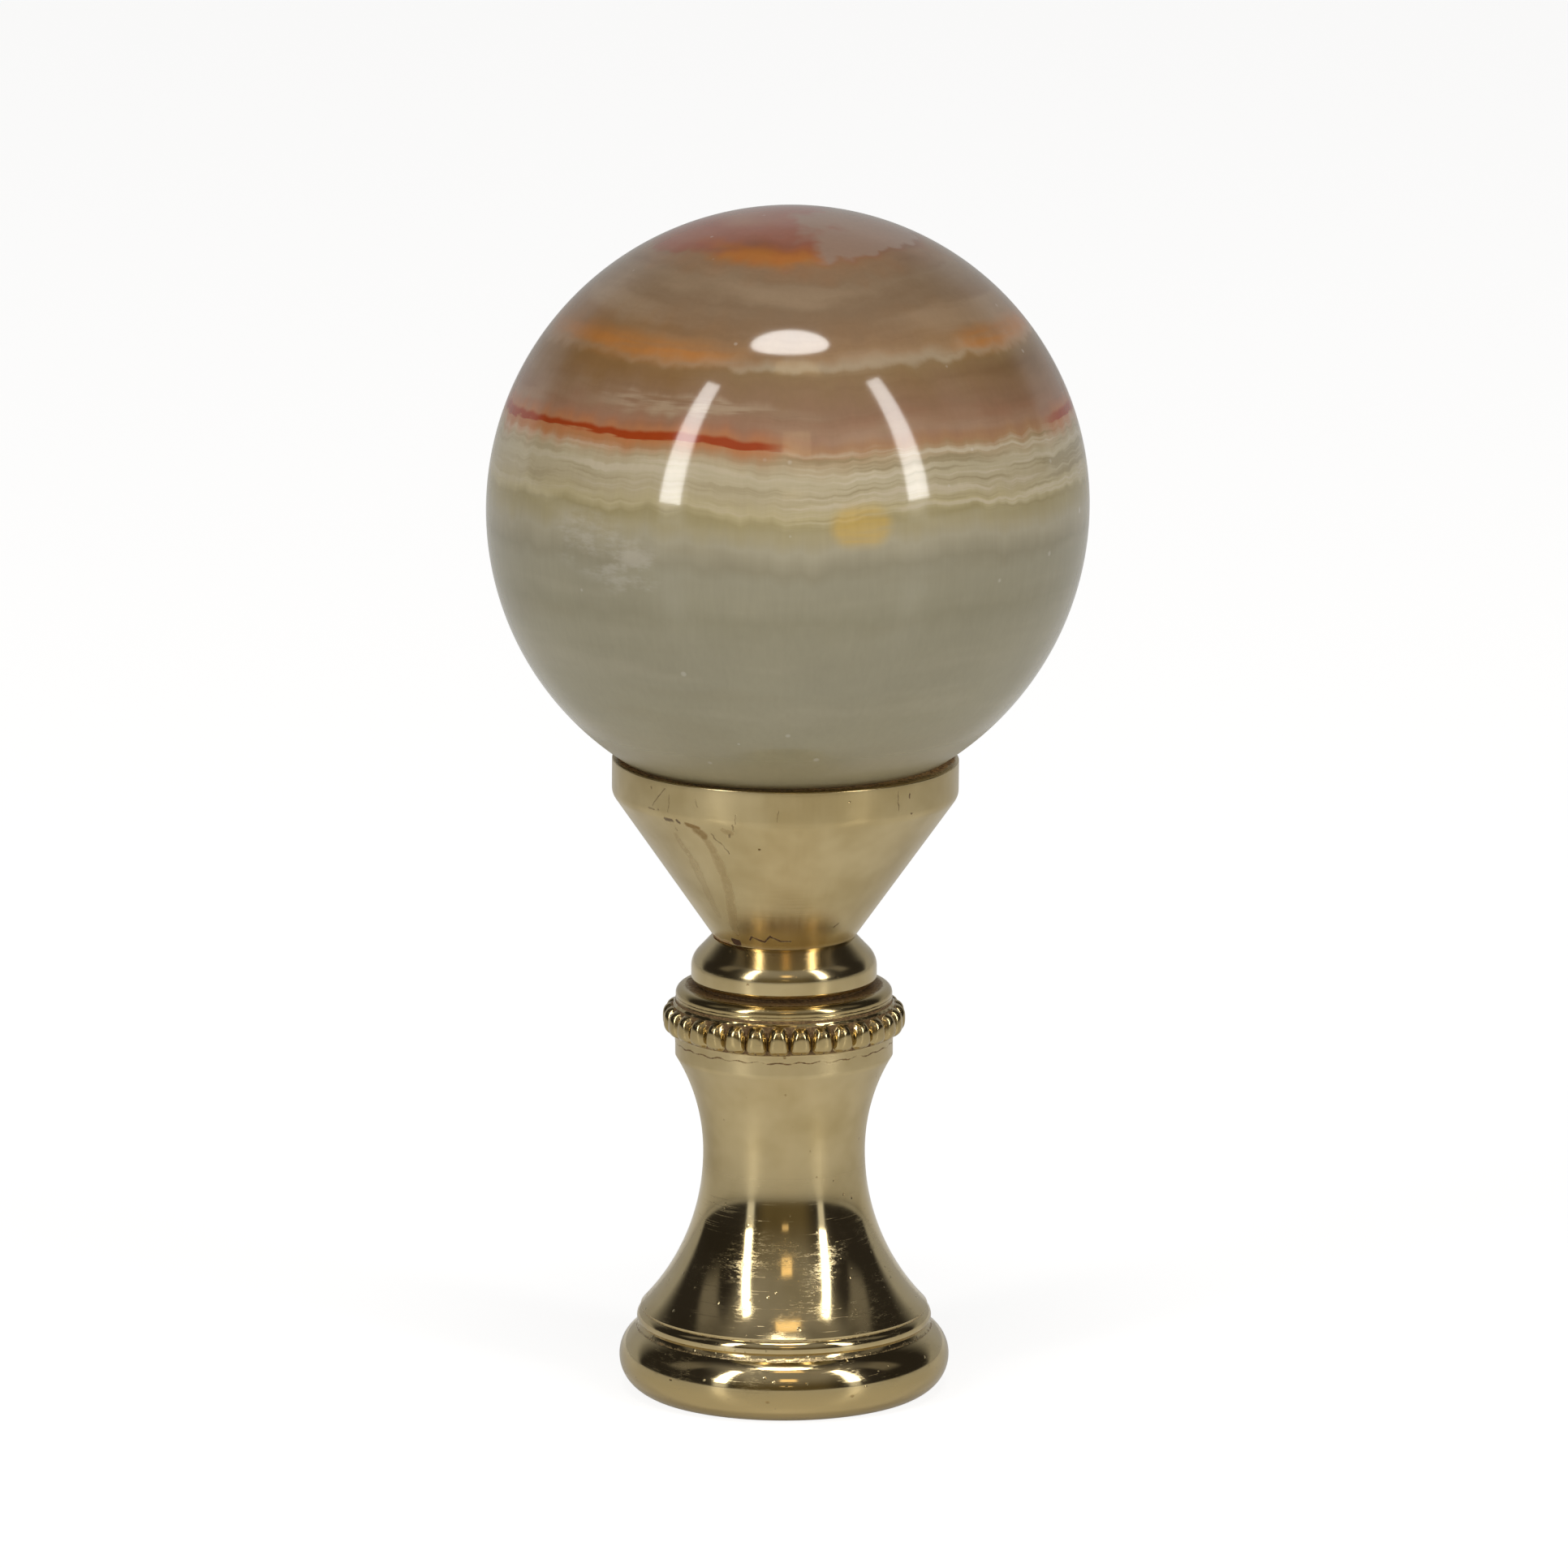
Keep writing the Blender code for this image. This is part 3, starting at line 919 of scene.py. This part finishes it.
def cup_rings():
    cone_lean = atan2(CUP_R - NECK_R, CUP_CONE_HEIGHT)
    corner_z = CUP_CONE_HEIGHT + CUP_CORNER_ROUND * tan(cone_lean / 2)
    corner = arc(CUP_R - CUP_CORNER_ROUND, corner_z, CUP_CORNER_ROUND, -degrees(cone_lean), 0, 12)
    bottom_z = CUP_SEAM - CUP_NECK_GAP
    cone_start = (NECK_R - CUP_EDGE_ROUND, bottom_z + CUP_EDGE_ROUND)
    rings = [cup_ring(0.0, bottom_z + 0.3, 1.0), cup_ring(cone_start[0] - 0.4, bottom_z + 0.3, 1.0)]
    for turn_deg in (-90, -70, -50):
        turn = radians(turn_deg)
        edge_r = cone_start[0] - CUP_EDGE_ROUND * (0.75 - cos(turn))
        rings.append(seam_ring(edge_r, bottom_z + CUP_EDGE_ROUND * (1 + sin(turn))))
    for i in range(CUP_CONE_ROWS):
        share = i / CUP_CONE_ROWS
        r = cone_start[0] + (corner[0][0] - cone_start[0]) * share
        z = cone_start[1] + (corner[0][1] - cone_start[1]) * share
        rings.append(seam_ring(r, z) if i == 0 else cup_ring(r, z))
    rings += [cup_ring(r, z) for r, z in corner]
    lip_top = CUP_RIM_Z - CUP_RIM_ROUND
    for i in range(1, CUP_LIP_ROWS):
        rings.append(cup_ring(CUP_R, corner_z + (lip_top - corner_z) * i / CUP_LIP_ROWS))
    rings += [cup_ring(r, z) for r, z in arc(CUP_R - CUP_RIM_ROUND, lip_top, CUP_RIM_ROUND, 0, 60, 4)]
    rings += [land_ring(i / LAND_ROWS) for i in range(1, LAND_ROWS + 1)]
    rings += [seat_ring(rim_polar * (1 - i / SEAT_ROWS)) for i in range(1, SEAT_ROWS)]
    bottom = ball_surface(Vector((0.0, 0.0, -1.0)), SEAT_GAP + SEAT_CLEAR)
    rings.append([(*bottom, 1.0)])
    return rings


cup = make_skin("cup", cup_rings(), crease_deg=40.0)
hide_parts("brass_cup")
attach(cup, "root")

# %% [markdown]
# ## Shared effects
# The brasses and the stone need the same few effects: tool marks that run round or along the work, small
# pits, drawn scratches, and grime and painted shade with a broken edge. Each is a node group that gives out
# only a mask, so every material can use it at its own scale and strength.

# %% Group tools
NOWHERE = (0.0, 0.0, 0.0)
EVENLY = (1.0, 1.0, 1.0)


def new_group(name, inputs, outputs):
    """A shader node group, from its inputs and outputs with their first values. Returns it and its inputs."""
    group = bpy.data.node_groups.new(name, "ShaderNodeTree")
    for way, sockets in (("INPUT", inputs), ("OUTPUT", outputs)):
        for label, start in sockets.items():
            kind = "NodeSocketVector" if isinstance(start, tuple) else "NodeSocketFloat"
            socket = group.interface.new_socket(name=label, in_out=way, socket_type=kind)
            socket.default_value = start
    entry = group.nodes.new("NodeGroupInput")
    return group, *(Signal(entry.outputs[label]) for label in inputs)


def close_group(group, **results):
    exit_node = group.nodes.new("NodeGroupOutput")
    for label, value in results.items():
        wire(value, exit_node.inputs[label])


def use_group(tree, group, **values):
    """Places a group in a tree. Returns its output, or all of them in order where it has several."""
    node = tree.nodes.new("ShaderNodeGroup")
    node.node_tree = group
    for label, value in values.items():
        wire(value, node.inputs[label])
    results = [Signal(socket) for socket in node.outputs]
    return results[0] if len(results) == 1 else results


# %% Turned place
DRUM_R = 6.0


def make_turned_place():
    """Where a point is on turned work, in millimetres: on a plain drum, in space, its height and its turn."""
    outputs = {"Drum": NOWHERE, "Place": NOWHERE, "Height": 0.0, "Turn": 0.0}
    group = new_group("turned_place", {}, outputs)[0]
    place = scaled(read(group, "TexCoord", "Object"), 1 / MM)
    x, y, z = split(place)
    flat = join(x, y, 0.0)
    radius = larger(vector_maths("LENGTH", flat), 0.01)
    drum_x, drum_y, _ = split(scaled(flat, DRUM_R / radius))
    turn = maths("ARCTAN2", x, y * -1.0)
    close_group(group, Drum=join(drum_x, drum_y, z), Place=place, Height=z, Turn=turn)
    return group


turned_place = make_turned_place()


# %% Tool marks, specks and strokes
def make_tool_marks():
    """Fine marks that run along one way: noise squeezed across the marks and drawn out along them."""
    group, vector, amounts = new_group("tool_marks", {"Vector": NOWHERE, "Stretch": EVENLY}, {"Marks": 0.0})
    stretched = vector_maths("MULTIPLY", vector, amounts)
    close_group(group, Marks=grain(stretched, 1.0, 3.0, 0.6) * 0.65 + grain(stretched, 0.23, 2.0, 0.5) * 0.35)
    return group


tool_marks = make_tool_marks()


def make_specks():
    """Small dots, about as far apart as the spacing, of which only a share shows."""
    inputs = {"Vector": NOWHERE, "Spacing": 1.0, "Size": 0.2, "Share": 0.3}
    group, vector, spacing, size, share = new_group("specks", inputs, {"Specks": 0.0})
    cells = add_node("TexVoronoi", (scaled(vector, 1.0 / spacing), 1.0), ("Vector", "Scale"))
    pick, size_pick, _ = split(Signal(cells.outputs["Color"]))
    reach = larger(size * (size_pick + 0.35), 0.001)
    dot = rise(Signal(cells.outputs["Distance"]) / reach, 1.0, 0.45)
    close_group(group, Specks=dot * maths("LESS_THAN", pick, share))
    return group


specks = make_specks()


def make_stroke_mark():
    """One drawn mark: 1 on the straight line from its start to its end, 0 at its width away from it."""
    inputs = {"Point": NOWHERE, "Start": NOWHERE, "End": EVENLY, "Width": 0.1}
    group, point, start, end, width = new_group("stroke_mark", inputs, {"Mark": 0.0})
    along = vector_maths("SUBTRACT", end, start)
    out = vector_maths("SUBTRACT", point, start)
    length_squared = larger(vector_maths("DOT_PRODUCT", along, along), 0.0001)
    share = smaller(larger(vector_maths("DOT_PRODUCT", out, along) / length_squared, 0.0), 1.0)
    away = vector_maths("DISTANCE", out, scaled(along, share))
    close_group(group, Mark=rise(away / width, 1.0, 0.4))
    return group


stroke_mark = make_stroke_mark()


# %% Settled grime and painted shade
def make_settled_grime_and_shade():
    """Breaks up the mesh's grime and painted shade number with noise, so that both have a ragged edge."""
    group, vector, grime_and_shade = new_group("settled_grime_and_shade", {"Vector": NOWHERE, "Grime": 0.0}, {"Mask": 0.0})
    rough = grain(vector, 2.6, 4.0, 0.65) - 0.5
    fine = grain(vector, 11.0, 2.0, 0.6) - 0.5
    broken = grime_and_shade + rough * 0.9 + fine * 0.35
    close_group(group, Mask=rise(broken, 0.22, 0.62) * rise(grime_and_shade, 0.0, 0.12))
    return group


settled_grime_and_shade = make_settled_grime_and_shade()
print("groups:", [group.name for group in bpy.data.node_groups])

# %% [markdown]
# ## Brass
# Old brass that is handled keeps its shine where fingers and cloths reach, and goes brown in corners. Some
# of that brown, at the left of the cup's seam and on the tops of the beads, is painted shade. Its colour is a
# warm tan that darkens with tarnish, and towards the bottom of the foot it is darkened as painted shade. Its
# shine is never one number: the foot and the knob are polished, the stem was left satin from the lathe, and
# dull patches where a cloth has rubbed blur the edges of the lamps. That is why the shine is a sum of a few
# marks and not a single value.

# %% Brass colours and helpers
BRASS_BRIGHT = (0.585, 0.472, 0.262, 1.0)
BRASS_DEEP = (0.47, 0.365, 0.18, 1.0)
GRIME_DARK = hue(92, 64, 34)
GRIME_LIGHT = hue(138, 107, 64)
RESIDUE_PALE = hue(196, 184, 150)


def grime_and_shade_value(tree):
    node = tree.nodes.new("ShaderNodeAttribute")
    node.attribute_name = "grime_and_shade"
    return Signal(node.outputs["Fac"])


def new_material(name, colour):
    material = bpy.data.materials.new(name)
    material.use_nodes = True
    material.diffuse_color = colour
    return material, material.node_tree, material.node_tree.nodes["Principled BSDF"]


RELIEF_DEPTH = 0.010


def finish_brass(shader, colour, metal, shine, relief):
    """Wires up what changes over a brass: its colour, how bare the metal is, its roughness and its relief."""
    wire(colour, shader.inputs["Base Color"])
    wire(metal, shader.inputs["Metallic"])
    wire(smaller(shine, 0.8), shader.inputs["Roughness"])
    bump = add_node("Bump", (RELIEF_DEPTH * MM, relief), ("Distance", "Height"))
    wire(Signal(bump.outputs["Normal"]), shader.inputs["Normal"])


# %% Polished brass of the base
STEM_SATIN_Z = 11.2
MIRROR_SHINE = 0.09
STEM_SHINE = 0.19
WORN_SHINE = 0.22
WORN_RELIEF = 0.030


def make_base_brass():
    material, tree, shader = new_material("polished_brass", BRASS_BRIGHT)
    drum, place, height, _ = use_group(tree, turned_place)
    # Tarnish in patches, and painted shade near the floor that darkens the bottom of the foot.
    tarnish_and_shade = larger(rise(grain(place, 0.22, 3.0, 0.6), 0.40, 0.75), rise(height, 2.6, 1.4))
    tarnish_and_shade = larger(tarnish_and_shade, band(height, BEAD_LOW_Z, KNOB_Z, 0.3))
    colour = mix(tarnish_and_shade, BRASS_BRIGHT, BRASS_DEEP)
    satin = rise(height, STEM_SATIN_Z - 0.7, STEM_SATIN_Z + 1.2)
    satin = satin * rise(height, BEAD_LOW_Z, BEAD_LOW_Z + 0.3, 1.0, 0.35)
    lines = rise(use_group(tree, tool_marks, Vector=drum, Stretch=(0.35, 0.35, 30.0)), 0.60, 0.70)
    cloth = use_group(tree, tool_marks, Vector=drum, Stretch=(4.0, 4.0, 24.0))
    on_flare = rise(height, STEM_SATIN_Z, STEM_SATIN_Z - 2.5)
    worn_ground = rise(grain(place, 0.50, 2.0), 0.42, 0.66) * on_flare
    worn = rise(cloth, 0.47, 0.62) * worn_ground
    pits = use_group(tree, specks, Vector=drum, Spacing=0.60, Size=0.14, Share=0.16)
    dots = use_group(tree, specks, Vector=drum, Spacing=0.42, Size=0.17, Share=0.35)
    dots = dots * (rise(height, STEM_Z + 4.0, STEM_Z) * 0.8 + 0.2)
    # The mask holds real dirt and, on the bead tops, a painted dark reflection.
    mask = use_group(tree, settled_grime_and_shade, Vector=place, Grime=grime_and_shade_value(tree))
    dirt_tone = grain(place, 7.0, 3.0, 0.6)
    dirt_and_shade = mix(rise(dirt_tone, 0.40, 0.65), GRIME_DARK, GRIME_LIGHT)
    residue = dots * band(height, STEP_GROOVE_Z - 0.2, STEM_Z + 0.9, 0.4) * 0.8
    colour = mix(pits * 0.5, colour, GRIME_LIGHT)
    colour = mix(residue, colour, RESIDUE_PALE)
    colour = mix(mask * 0.92, colour, dirt_and_shade)
    metal = rise(mask, 0.2, 1.0, 1.0, 0.25)
    shine = MIRROR_SHINE + satin * STEM_SHINE + worn * WORN_SHINE + lines * 0.12 + mask * 0.45 + dots * 0.2
    ground = lines * -0.12 + cloth * worn_ground * WORN_RELIEF + dots * 1.5
    relief = ground * rise(satin, 0.0, 1.0, 1.0, 0.05) + pits * -1.6 + mask * dirt_tone * 3.0
    finish_brass(shader, colour, metal, shine, relief)
    return material


base.data.materials.append(make_base_brass())
print("base carries", base.data.materials[0].name)

# %% [markdown]
# ## The cup's marks
# The cup has kept a history: fine scratches from when the ball was glued in, pits, and a run of some
# liquid that started below the lip at the left and dried brown down to the neck. A broken dark line runs
# along the neck, and a dark spot at the left of the neck is painted shadow of the gap under the leaning cup.
# Each is drawn where it lies, as a start, an end and a half width in millimetres round the cup and up it,
# with its strength.

# %% Satin brass of the cup
CUP_MARKS_AND_SEAM_SHADOW = (
    ((-6.94, 33.87), (-7.88, 32.81), 0.040, 0.55),
    ((-6.65, 33.56), (-6.65, 32.69), 0.035, 0.40),
    ((-4.91, 33.56), (-4.70, 33.13), 0.040, 0.35),
    ((-0.27, 33.19), (-0.27, 32.67), 0.035, 0.40),
    ((6.48, 33.80), (6.48, 32.72), 0.040, 0.60),
    ((-2.60, 32.90), (-2.60, 32.40), 0.035, 0.40),
    ((-8.15, 32.68), (-7.75, 32.62), 0.045, 0.50),
    ((-7.94, 33.80), (-7.90, 33.78), 0.080, 0.70),
    ((-7.49, 32.66), (-7.45, 32.66), 0.070, 0.60),
    ((7.24, 33.52), (7.24, 33.35), 0.080, 0.80),
    ((7.43, 32.49), (7.45, 32.49), 0.080, 0.80),
    ((-6.95, 32.24), (-6.50, 32.20), 0.150, 0.75),
    ((-6.15, 32.27), (-6.00, 32.12), 0.090, 0.80),
    ((-6.55, 31.75), (-6.52, 31.60), 0.050, 0.60),
    ((-2.75, 32.35), (-2.72, 32.00), 0.050, 0.45),
    ((-3.00, 31.80), (-3.10, 31.60), 0.070, 0.50),
    ((-4.15, 31.70), (-3.75, 31.10), 0.060, 0.45),
    ((-3.75, 31.10), (-3.40, 30.55), 0.045, 0.60),
    # Painted shadow of the gap under the cup's left edge, at the neck; the marks after it are the broken
    # line.
    ((-6.90, 24.84), (-5.90, 24.80), 0.240, 3.50),
    ((-4.19, 25.07), (-3.80, 25.30), 0.075, 1.90),
    ((-3.80, 25.30), (-2.33, 25.02), 0.070, 1.50),
    ((-2.33, 25.02), (-1.62, 25.39), 0.075, 1.90),
    ((-1.62, 25.39), (-0.40, 25.10), 0.070, 1.50),
    ((-0.40, 25.10), (0.80, 25.10), 0.060, 0.90),
    ((5.55, 25.85), (5.85, 26.00), 0.080, 1.20),
)
CUP_RUNS = (
    ((-5.50, 32.12), (-4.90, 31.95), 0.20, 0.85),
    ((-5.05, 31.85), (-4.70, 31.50), 0.34, 0.72),
    ((-3.30, 32.00), (-2.95, 31.85), 0.20, 0.35),
    ((-4.70, 31.40), (-4.35, 30.20), 0.34, 0.36),
    ((-4.35, 30.20), (-4.35, 28.60), 0.46, 0.28),
    ((-4.35, 28.60), (-4.75, 27.20), 0.50, 0.28),
    ((-4.75, 27.20), (-5.60, 25.70), 0.55, 0.24),
    ((-6.80, 31.20), (-6.50, 29.60), 0.36, 0.10),
    ((-6.50, 29.60), (-6.95, 26.60), 0.50, 0.16),
)
MARK_BROWN = hue(72, 42, 14)
RUN_BROWN = hue(134, 100, 46)
CEMENT_DARK = hue(104, 68, 32)
CEMENT_LIGHT = hue(172, 132, 82)
# Amber painted as the reflection of the brass base in the front of the cup's cone.
NECK_REFLECTION_AMBER = hue(150, 102, 32)
CUP_SHINE = 0.16
BRUSH_DULL = 0.16


def draw_stroke(tree, point, start, end, width):
    """A drawn mark between two flat points, each across and up."""
    return use_group(tree, stroke_mark, Point=point, Start=(*start, 0.0), End=(*end, 0.0), Width=width)


def strongest_mark(tree, point, strokes):
    """The strongest of several drawn marks at a point."""
    strongest = 0.0
    for start, end, width, strength in strokes:
        strongest = larger(strongest, draw_stroke(tree, point, start, end, width) * strength)
    return strongest


def make_cup_brass():
    material, tree, shader = new_material("satin_brass", BRASS_BRIGHT)
    drum, place, height, turn = use_group(tree, turned_place)
    around = turn * CUP_R
    colour = mix(rise(grain(place, 0.20, 3.0, 0.6), 0.35, 0.72), BRASS_BRIGHT, BRASS_DEEP)
    brush = use_group(tree, tool_marks, Vector=drum, Stretch=(7.0, 7.0, 0.55))
    round_marks = use_group(tree, tool_marks, Vector=drum, Stretch=(0.5, 0.5, 16.0))
    pits = use_group(tree, specks, Vector=drum, Spacing=1.1, Size=0.07, Share=0.22)
    sway = (grain(place, 1.3, 3.0, 0.6) - 0.5) * 0.45
    point = join(around + sway, height + sway * 0.4, 0.0)
    broken = rise(grain(place, 5.0, 3.0, 0.6), 0.34, 0.52, 0.25, 1.0)
    marks_and_seam_shadow = strongest_mark(tree, point, CUP_MARKS_AND_SEAM_SHADOW) * broken
    runs = strongest_mark(tree, point, CUP_RUNS) * (broken * 0.4 + 0.5)
    run_edge = rise(maths("ABSOLUTE", runs - 0.10), 0.06, 0.01) * broken
    # Painted reflection: the front of the cone above the neck is tinted amber where the base shows in it.
    amber = rise(height, KNOB_TOP_Z + 2.7, KNOB_TOP_Z + 1.6) * band(around, -5.0, 5.0, 1.6)
    # The mask holds cement and dirt and, at the left of the seam, a painted shadow of the gap.
    mask = use_group(tree, settled_grime_and_shade, Vector=place, Grime=grime_and_shade_value(tree))
    dirt_tone = grain(place, 6.0, 3.0, 0.6)
    dirt_and_shade = mix(rise(dirt_tone, 0.60, 0.45), CEMENT_DARK, CEMENT_LIGHT)
    colour = mix(pits * 0.8, colour, GRIME_DARK)
    colour = mix(amber * 0.22, colour, NECK_REFLECTION_AMBER)
    colour = mix(larger(runs, run_edge * 0.25), colour, RUN_BROWN)
    colour = mix(mask * 0.92, colour, dirt_and_shade)
    colour = mix(marks_and_seam_shadow, colour, MARK_BROWN)
    mask = smaller(larger(mask, marks_and_seam_shadow), 1.0)
    metal = rise(mask, 0.2, 1.0, 1.0, 0.15)
    shine = CUP_SHINE + brush * BRUSH_DULL + runs * 0.25 + mask * 0.4
    relief = brush * 0.5 + round_marks * 0.3 + pits * -2.0 + marks_and_seam_shadow * -1.5 + mask * dirt_tone * 3.0
    finish_brass(shader, colour, metal, shine, relief)
    return material


cup.data.materials.append(make_cup_brass())
print("cup carries", cup.data.materials[0].name)

# %% [markdown]
# ## Onyx
# Banded onyx is lime that settled in layers, so its colour depends first on height in the block. The
# layers were never flat: each has a lumpy lower edge, and crystals grew upright through them, which
# gives the fine upright feathering. So the shader works out a height, bends it with soft noise and with
# rounded lumps, and looks the colour up in a ramp. Stains of rust and amber sit only in places.

# %% Onyx bands
ONYX_BANDS = (
    (-1.00, (150, 140, 110)),
    (-0.74, (153, 143, 112)),
    (-0.62, (154, 147, 120)),
    (-0.45, (154, 148, 124)),
    (-0.28, (153, 147, 123)),
    (-0.21, (147, 141, 116)),
    (-0.15, (152, 146, 122)),
    (-0.07, (154, 148, 125)),
    (-0.03, (147, 140, 116)),
    (0.04, (168, 160, 136)),
    (0.085, (166, 155, 122)),
    (0.125, (162, 150, 112)),
    (0.155, (184, 171, 134)),
    (0.21, (179, 166, 136)),
    (0.27, (184, 172, 144)),
    (0.325, (176, 155, 124)),
    (0.355, (168, 130, 96)),
    (0.40, (153, 114, 90)),
    (0.47, (141, 110, 85)),
    (0.55, (136, 108, 77)),
    (0.585, (138, 112, 78)),
    (0.605, (164, 146, 120)),
    (0.64, (152, 122, 90)),
    (0.70, (138, 110, 82)),
    (0.77, (134, 111, 87)),
    (0.83, (140, 118, 94)),
    (0.885, (144, 112, 84)),
    (0.92, (150, 96, 76)),
    (1.00, (152, 108, 96)),
)
LAYER_PALE = hue(206, 194, 172)
LAYER_OLIVE = hue(128, 114, 78)
LAYER_BROWN = hue(98, 68, 42)
CLOUD_TAN = hue(168, 146, 120)
RUST = hue(152, 54, 10)
RUST_GLOW = hue(186, 110, 58)
AMBER = hue(186, 116, 44)
AMBER_PALE = hue(206, 170, 84)
GOLDEN_BROWN = hue(128, 88, 40)
CAP_GREY = hue(152, 130, 114)
CAP_RED = hue(140, 72, 52)
FLECK_WHITE = hue(214, 206, 196)


def onyx_place(tree):
    """Place in the ball, in ball radii from its centre."""
    centred = vector_maths("SUBTRACT", read(tree, "TexCoord", "Object"), tuple(ball_centre * MM))
    return scaled(centred, 1 / (BALL_R * MM))


def bent_heights(place):
    """Two heights in the block: one bent by slow waves only, one also by hanging lumps and feathering."""
    across, _, height = split(place)
    slow = grain(stretch(place, 1.0, 1.0, 0.6), 2.0, 2.0) - 0.5
    smooth = height + slow * 0.06 + maths("COSINE", across * 5.5) * 0.011
    lumps = add_node("TexVoronoi", (stretch(place, 1.0, 1.0, 0.25), 0.25, 15.0),
                     ("Vector", "Smoothness", "Scale"), feature="SMOOTH_F1")
    feather = grain(stretch(place, 1.0, 1.0, 0.12), 34.0, 3.0, 0.6) - 0.5
    bent = smooth + Signal(lumps.outputs["Distance"]) * -0.036 + feather * 0.014 + 0.016
    return smooth, bent


# %% Onyx layers
def add_layers(colour, place, smooth, bent):
    """Fine wavy layers in the cream zone, broad soft ones above and below it."""
    across, depth, _ = split(place)
    half_bent = smooth * 0.4 + bent * 0.6
    fine = grain(join(across * 1.6, depth * 1.6, half_bent * 36.0), 1.0, 3.0, 0.6)
    broad = grain(join(across * 1.3, depth * 1.3, smooth * 8.0), 1.0, 2.5, 0.55)
    patchy = rise(grain(place, 1.6, 2.0), 0.35, 0.60, 0.45, 1.0)
    cream = band(bent, 0.13, 0.35, 0.02) * patchy
    upper = rise(bent, 0.35, 0.42)
    lower = rise(bent, 0.14, 0.08)
    pale = rise(fine, 0.50, 0.66) * cream * 0.55 + rise(broad, 0.50, 0.70) * (upper * 0.42 + lower * 0.09)
    dark = rise(fine, 0.50, 0.36) * (cream * 0.48 + upper * 0.07)
    dark = dark + rise(broad, 0.48, 0.30) * (upper * 0.45 + lower * 0.11)
    colour = mix(pale, colour, mix(upper, LAYER_PALE, CLOUD_TAN))
    return mix(dark, colour, mix(upper, LAYER_OLIVE, LAYER_BROWN))


# %% Onyx stains
def add_stains(tree, colour, place, smooth, bent):
    """Rust under the brown zone, amber streaks above it, and the pink and grey cap."""
    across, depth, height = split(place)
    patchy = grain(place, 1.7, 2.0)
    wispy = grain(stretch(place, 3.0, 3.0, 30.0), 1.0, 3.0, 0.6)
    left = larger(rise(across, 0.03, -0.10), rise(across, 0.82, 0.90))
    shifted = across + (grain(place, 5.0, 3.0) - 0.5) * 0.5
    golden = rise(across, -0.05, -0.5) * band(bent, 0.53, 0.70, 0.05)
    colour = mix(golden * 0.5, colour, GOLDEN_BROWN)
    even = smooth * 0.7 + bent * 0.3
    rust_low = 0.356 + (wispy - 0.5) * -0.06
    rust = rise(even, rust_low, rust_low + 0.008) * rise(even, 0.390, 0.376) * left
    colour = mix(band(bent, 0.325, 0.40, 0.03) * left * 0.55, colour, RUST_GLOW)
    colour = mix(rust * 0.92, colour, RUST)
    amber_side = larger(band(across, -0.72, -0.18, 0.14), rise(across, 0.50, 0.62))
    amber = band(even, 0.605, 0.660, 0.03) * amber_side * rise(wispy, 0.30, 0.55, 0.5, 1.0)
    colour = mix(amber * 0.62, colour, AMBER)
    wisp = band(bent, 0.440, 0.490, 0.015) * band(across, -0.58, -0.06, 0.12) * rise(wispy, 0.38, 0.54)
    colour = mix(wisp * 0.75, colour, CLOUD_TAN)
    cap = rise(bent + across * -0.03, 0.885, 0.90)
    colour = mix(cap * rise(patchy, 0.40, 0.55) * 0.5, colour, CAP_RED)
    colour = mix(cap * rise(shifted, 0.04, 0.14) * 0.85, colour, CAP_GREY)
    cap_amber = band(even, 0.885, 0.925, 0.018) * band(shifted, -0.28, 0.08, 0.07)
    colour = mix(cap_amber * 0.62, colour, AMBER)
    front = rise(depth, -0.3, -0.6)
    spot = draw_stroke(tree, join(across, height, 0.0), (0.205, 0.112), (0.270, 0.112), 0.10)
    spot = spot * spot * front * rise(wispy, 0.25, 0.65, 0.35, 1.0)
    return mix(spot * 0.62, colour, AMBER_PALE)


# %% Onyx
ONYX_IOR = 1.53


def make_onyx():
    material, tree, shader = new_material("onyx", hue(150, 144, 114))
    place = onyx_place(tree)
    across, depth, height = split(place)
    smooth, bent = bent_heights(place)
    stops = [((level + 1) / 2, hue(*colour)) for level, colour in ONYX_BANDS]
    colour = ramp((bent + 1.0) * 0.5, stops)
    colour = add_layers(colour, place, smooth, bent)
    colour = add_stains(tree, colour, place, smooth, bent)
    fibres = grain(stretch(place, 1.0, 1.0, 0.10), 60.0, 3.0, 0.6)
    cloud = grain(place, 3.2, 4.0, 0.6)
    tint = 1.0 + (fibres - 0.5) * 0.12 + (cloud - 0.5) * 0.22
    colour = mix(1.0, colour, tint, "MULTIPLY")
    small = use_group(tree, specks, Vector=place, Spacing=0.085, Size=0.13, Share=0.14)
    flat_place = stretch(place, 1.0, 1.0, 0.6)
    large = use_group(tree, specks, Vector=flat_place, Spacing=0.30, Size=0.09, Share=0.35)
    inclusion = draw_stroke(tree, join(across, height, 0.0), (-0.66, 0.03), (-0.50, -0.05), 0.13)
    crystals = rise(grain(stretch(place, 0.5, 0.5, 1.4), 13.0, 4.0, 0.7), 0.40, 0.66)
    inclusion = inclusion * crystals * rise(depth, -0.2, -0.5)
    flecks = larger(small * 0.28, large * rise(height, 0.75, 0.65) * 0.5)
    flecks = larger(flecks, inclusion * 0.27)
    colour = mix(flecks, colour, FLECK_WHITE)
    wire(colour, shader.inputs["Base Color"])
    shader.inputs["IOR"].default_value = ONYX_IOR
    dull = grain(place, 9.0, 3.0)
    seat = rise(height, -0.64, -0.76)
    wire(0.05 + dull * 0.05 + seat * 0.3, shader.inputs["Roughness"])
    return material


ball.data.materials.append(make_onyx())
print("ball carries", ball.data.materials[0].name)
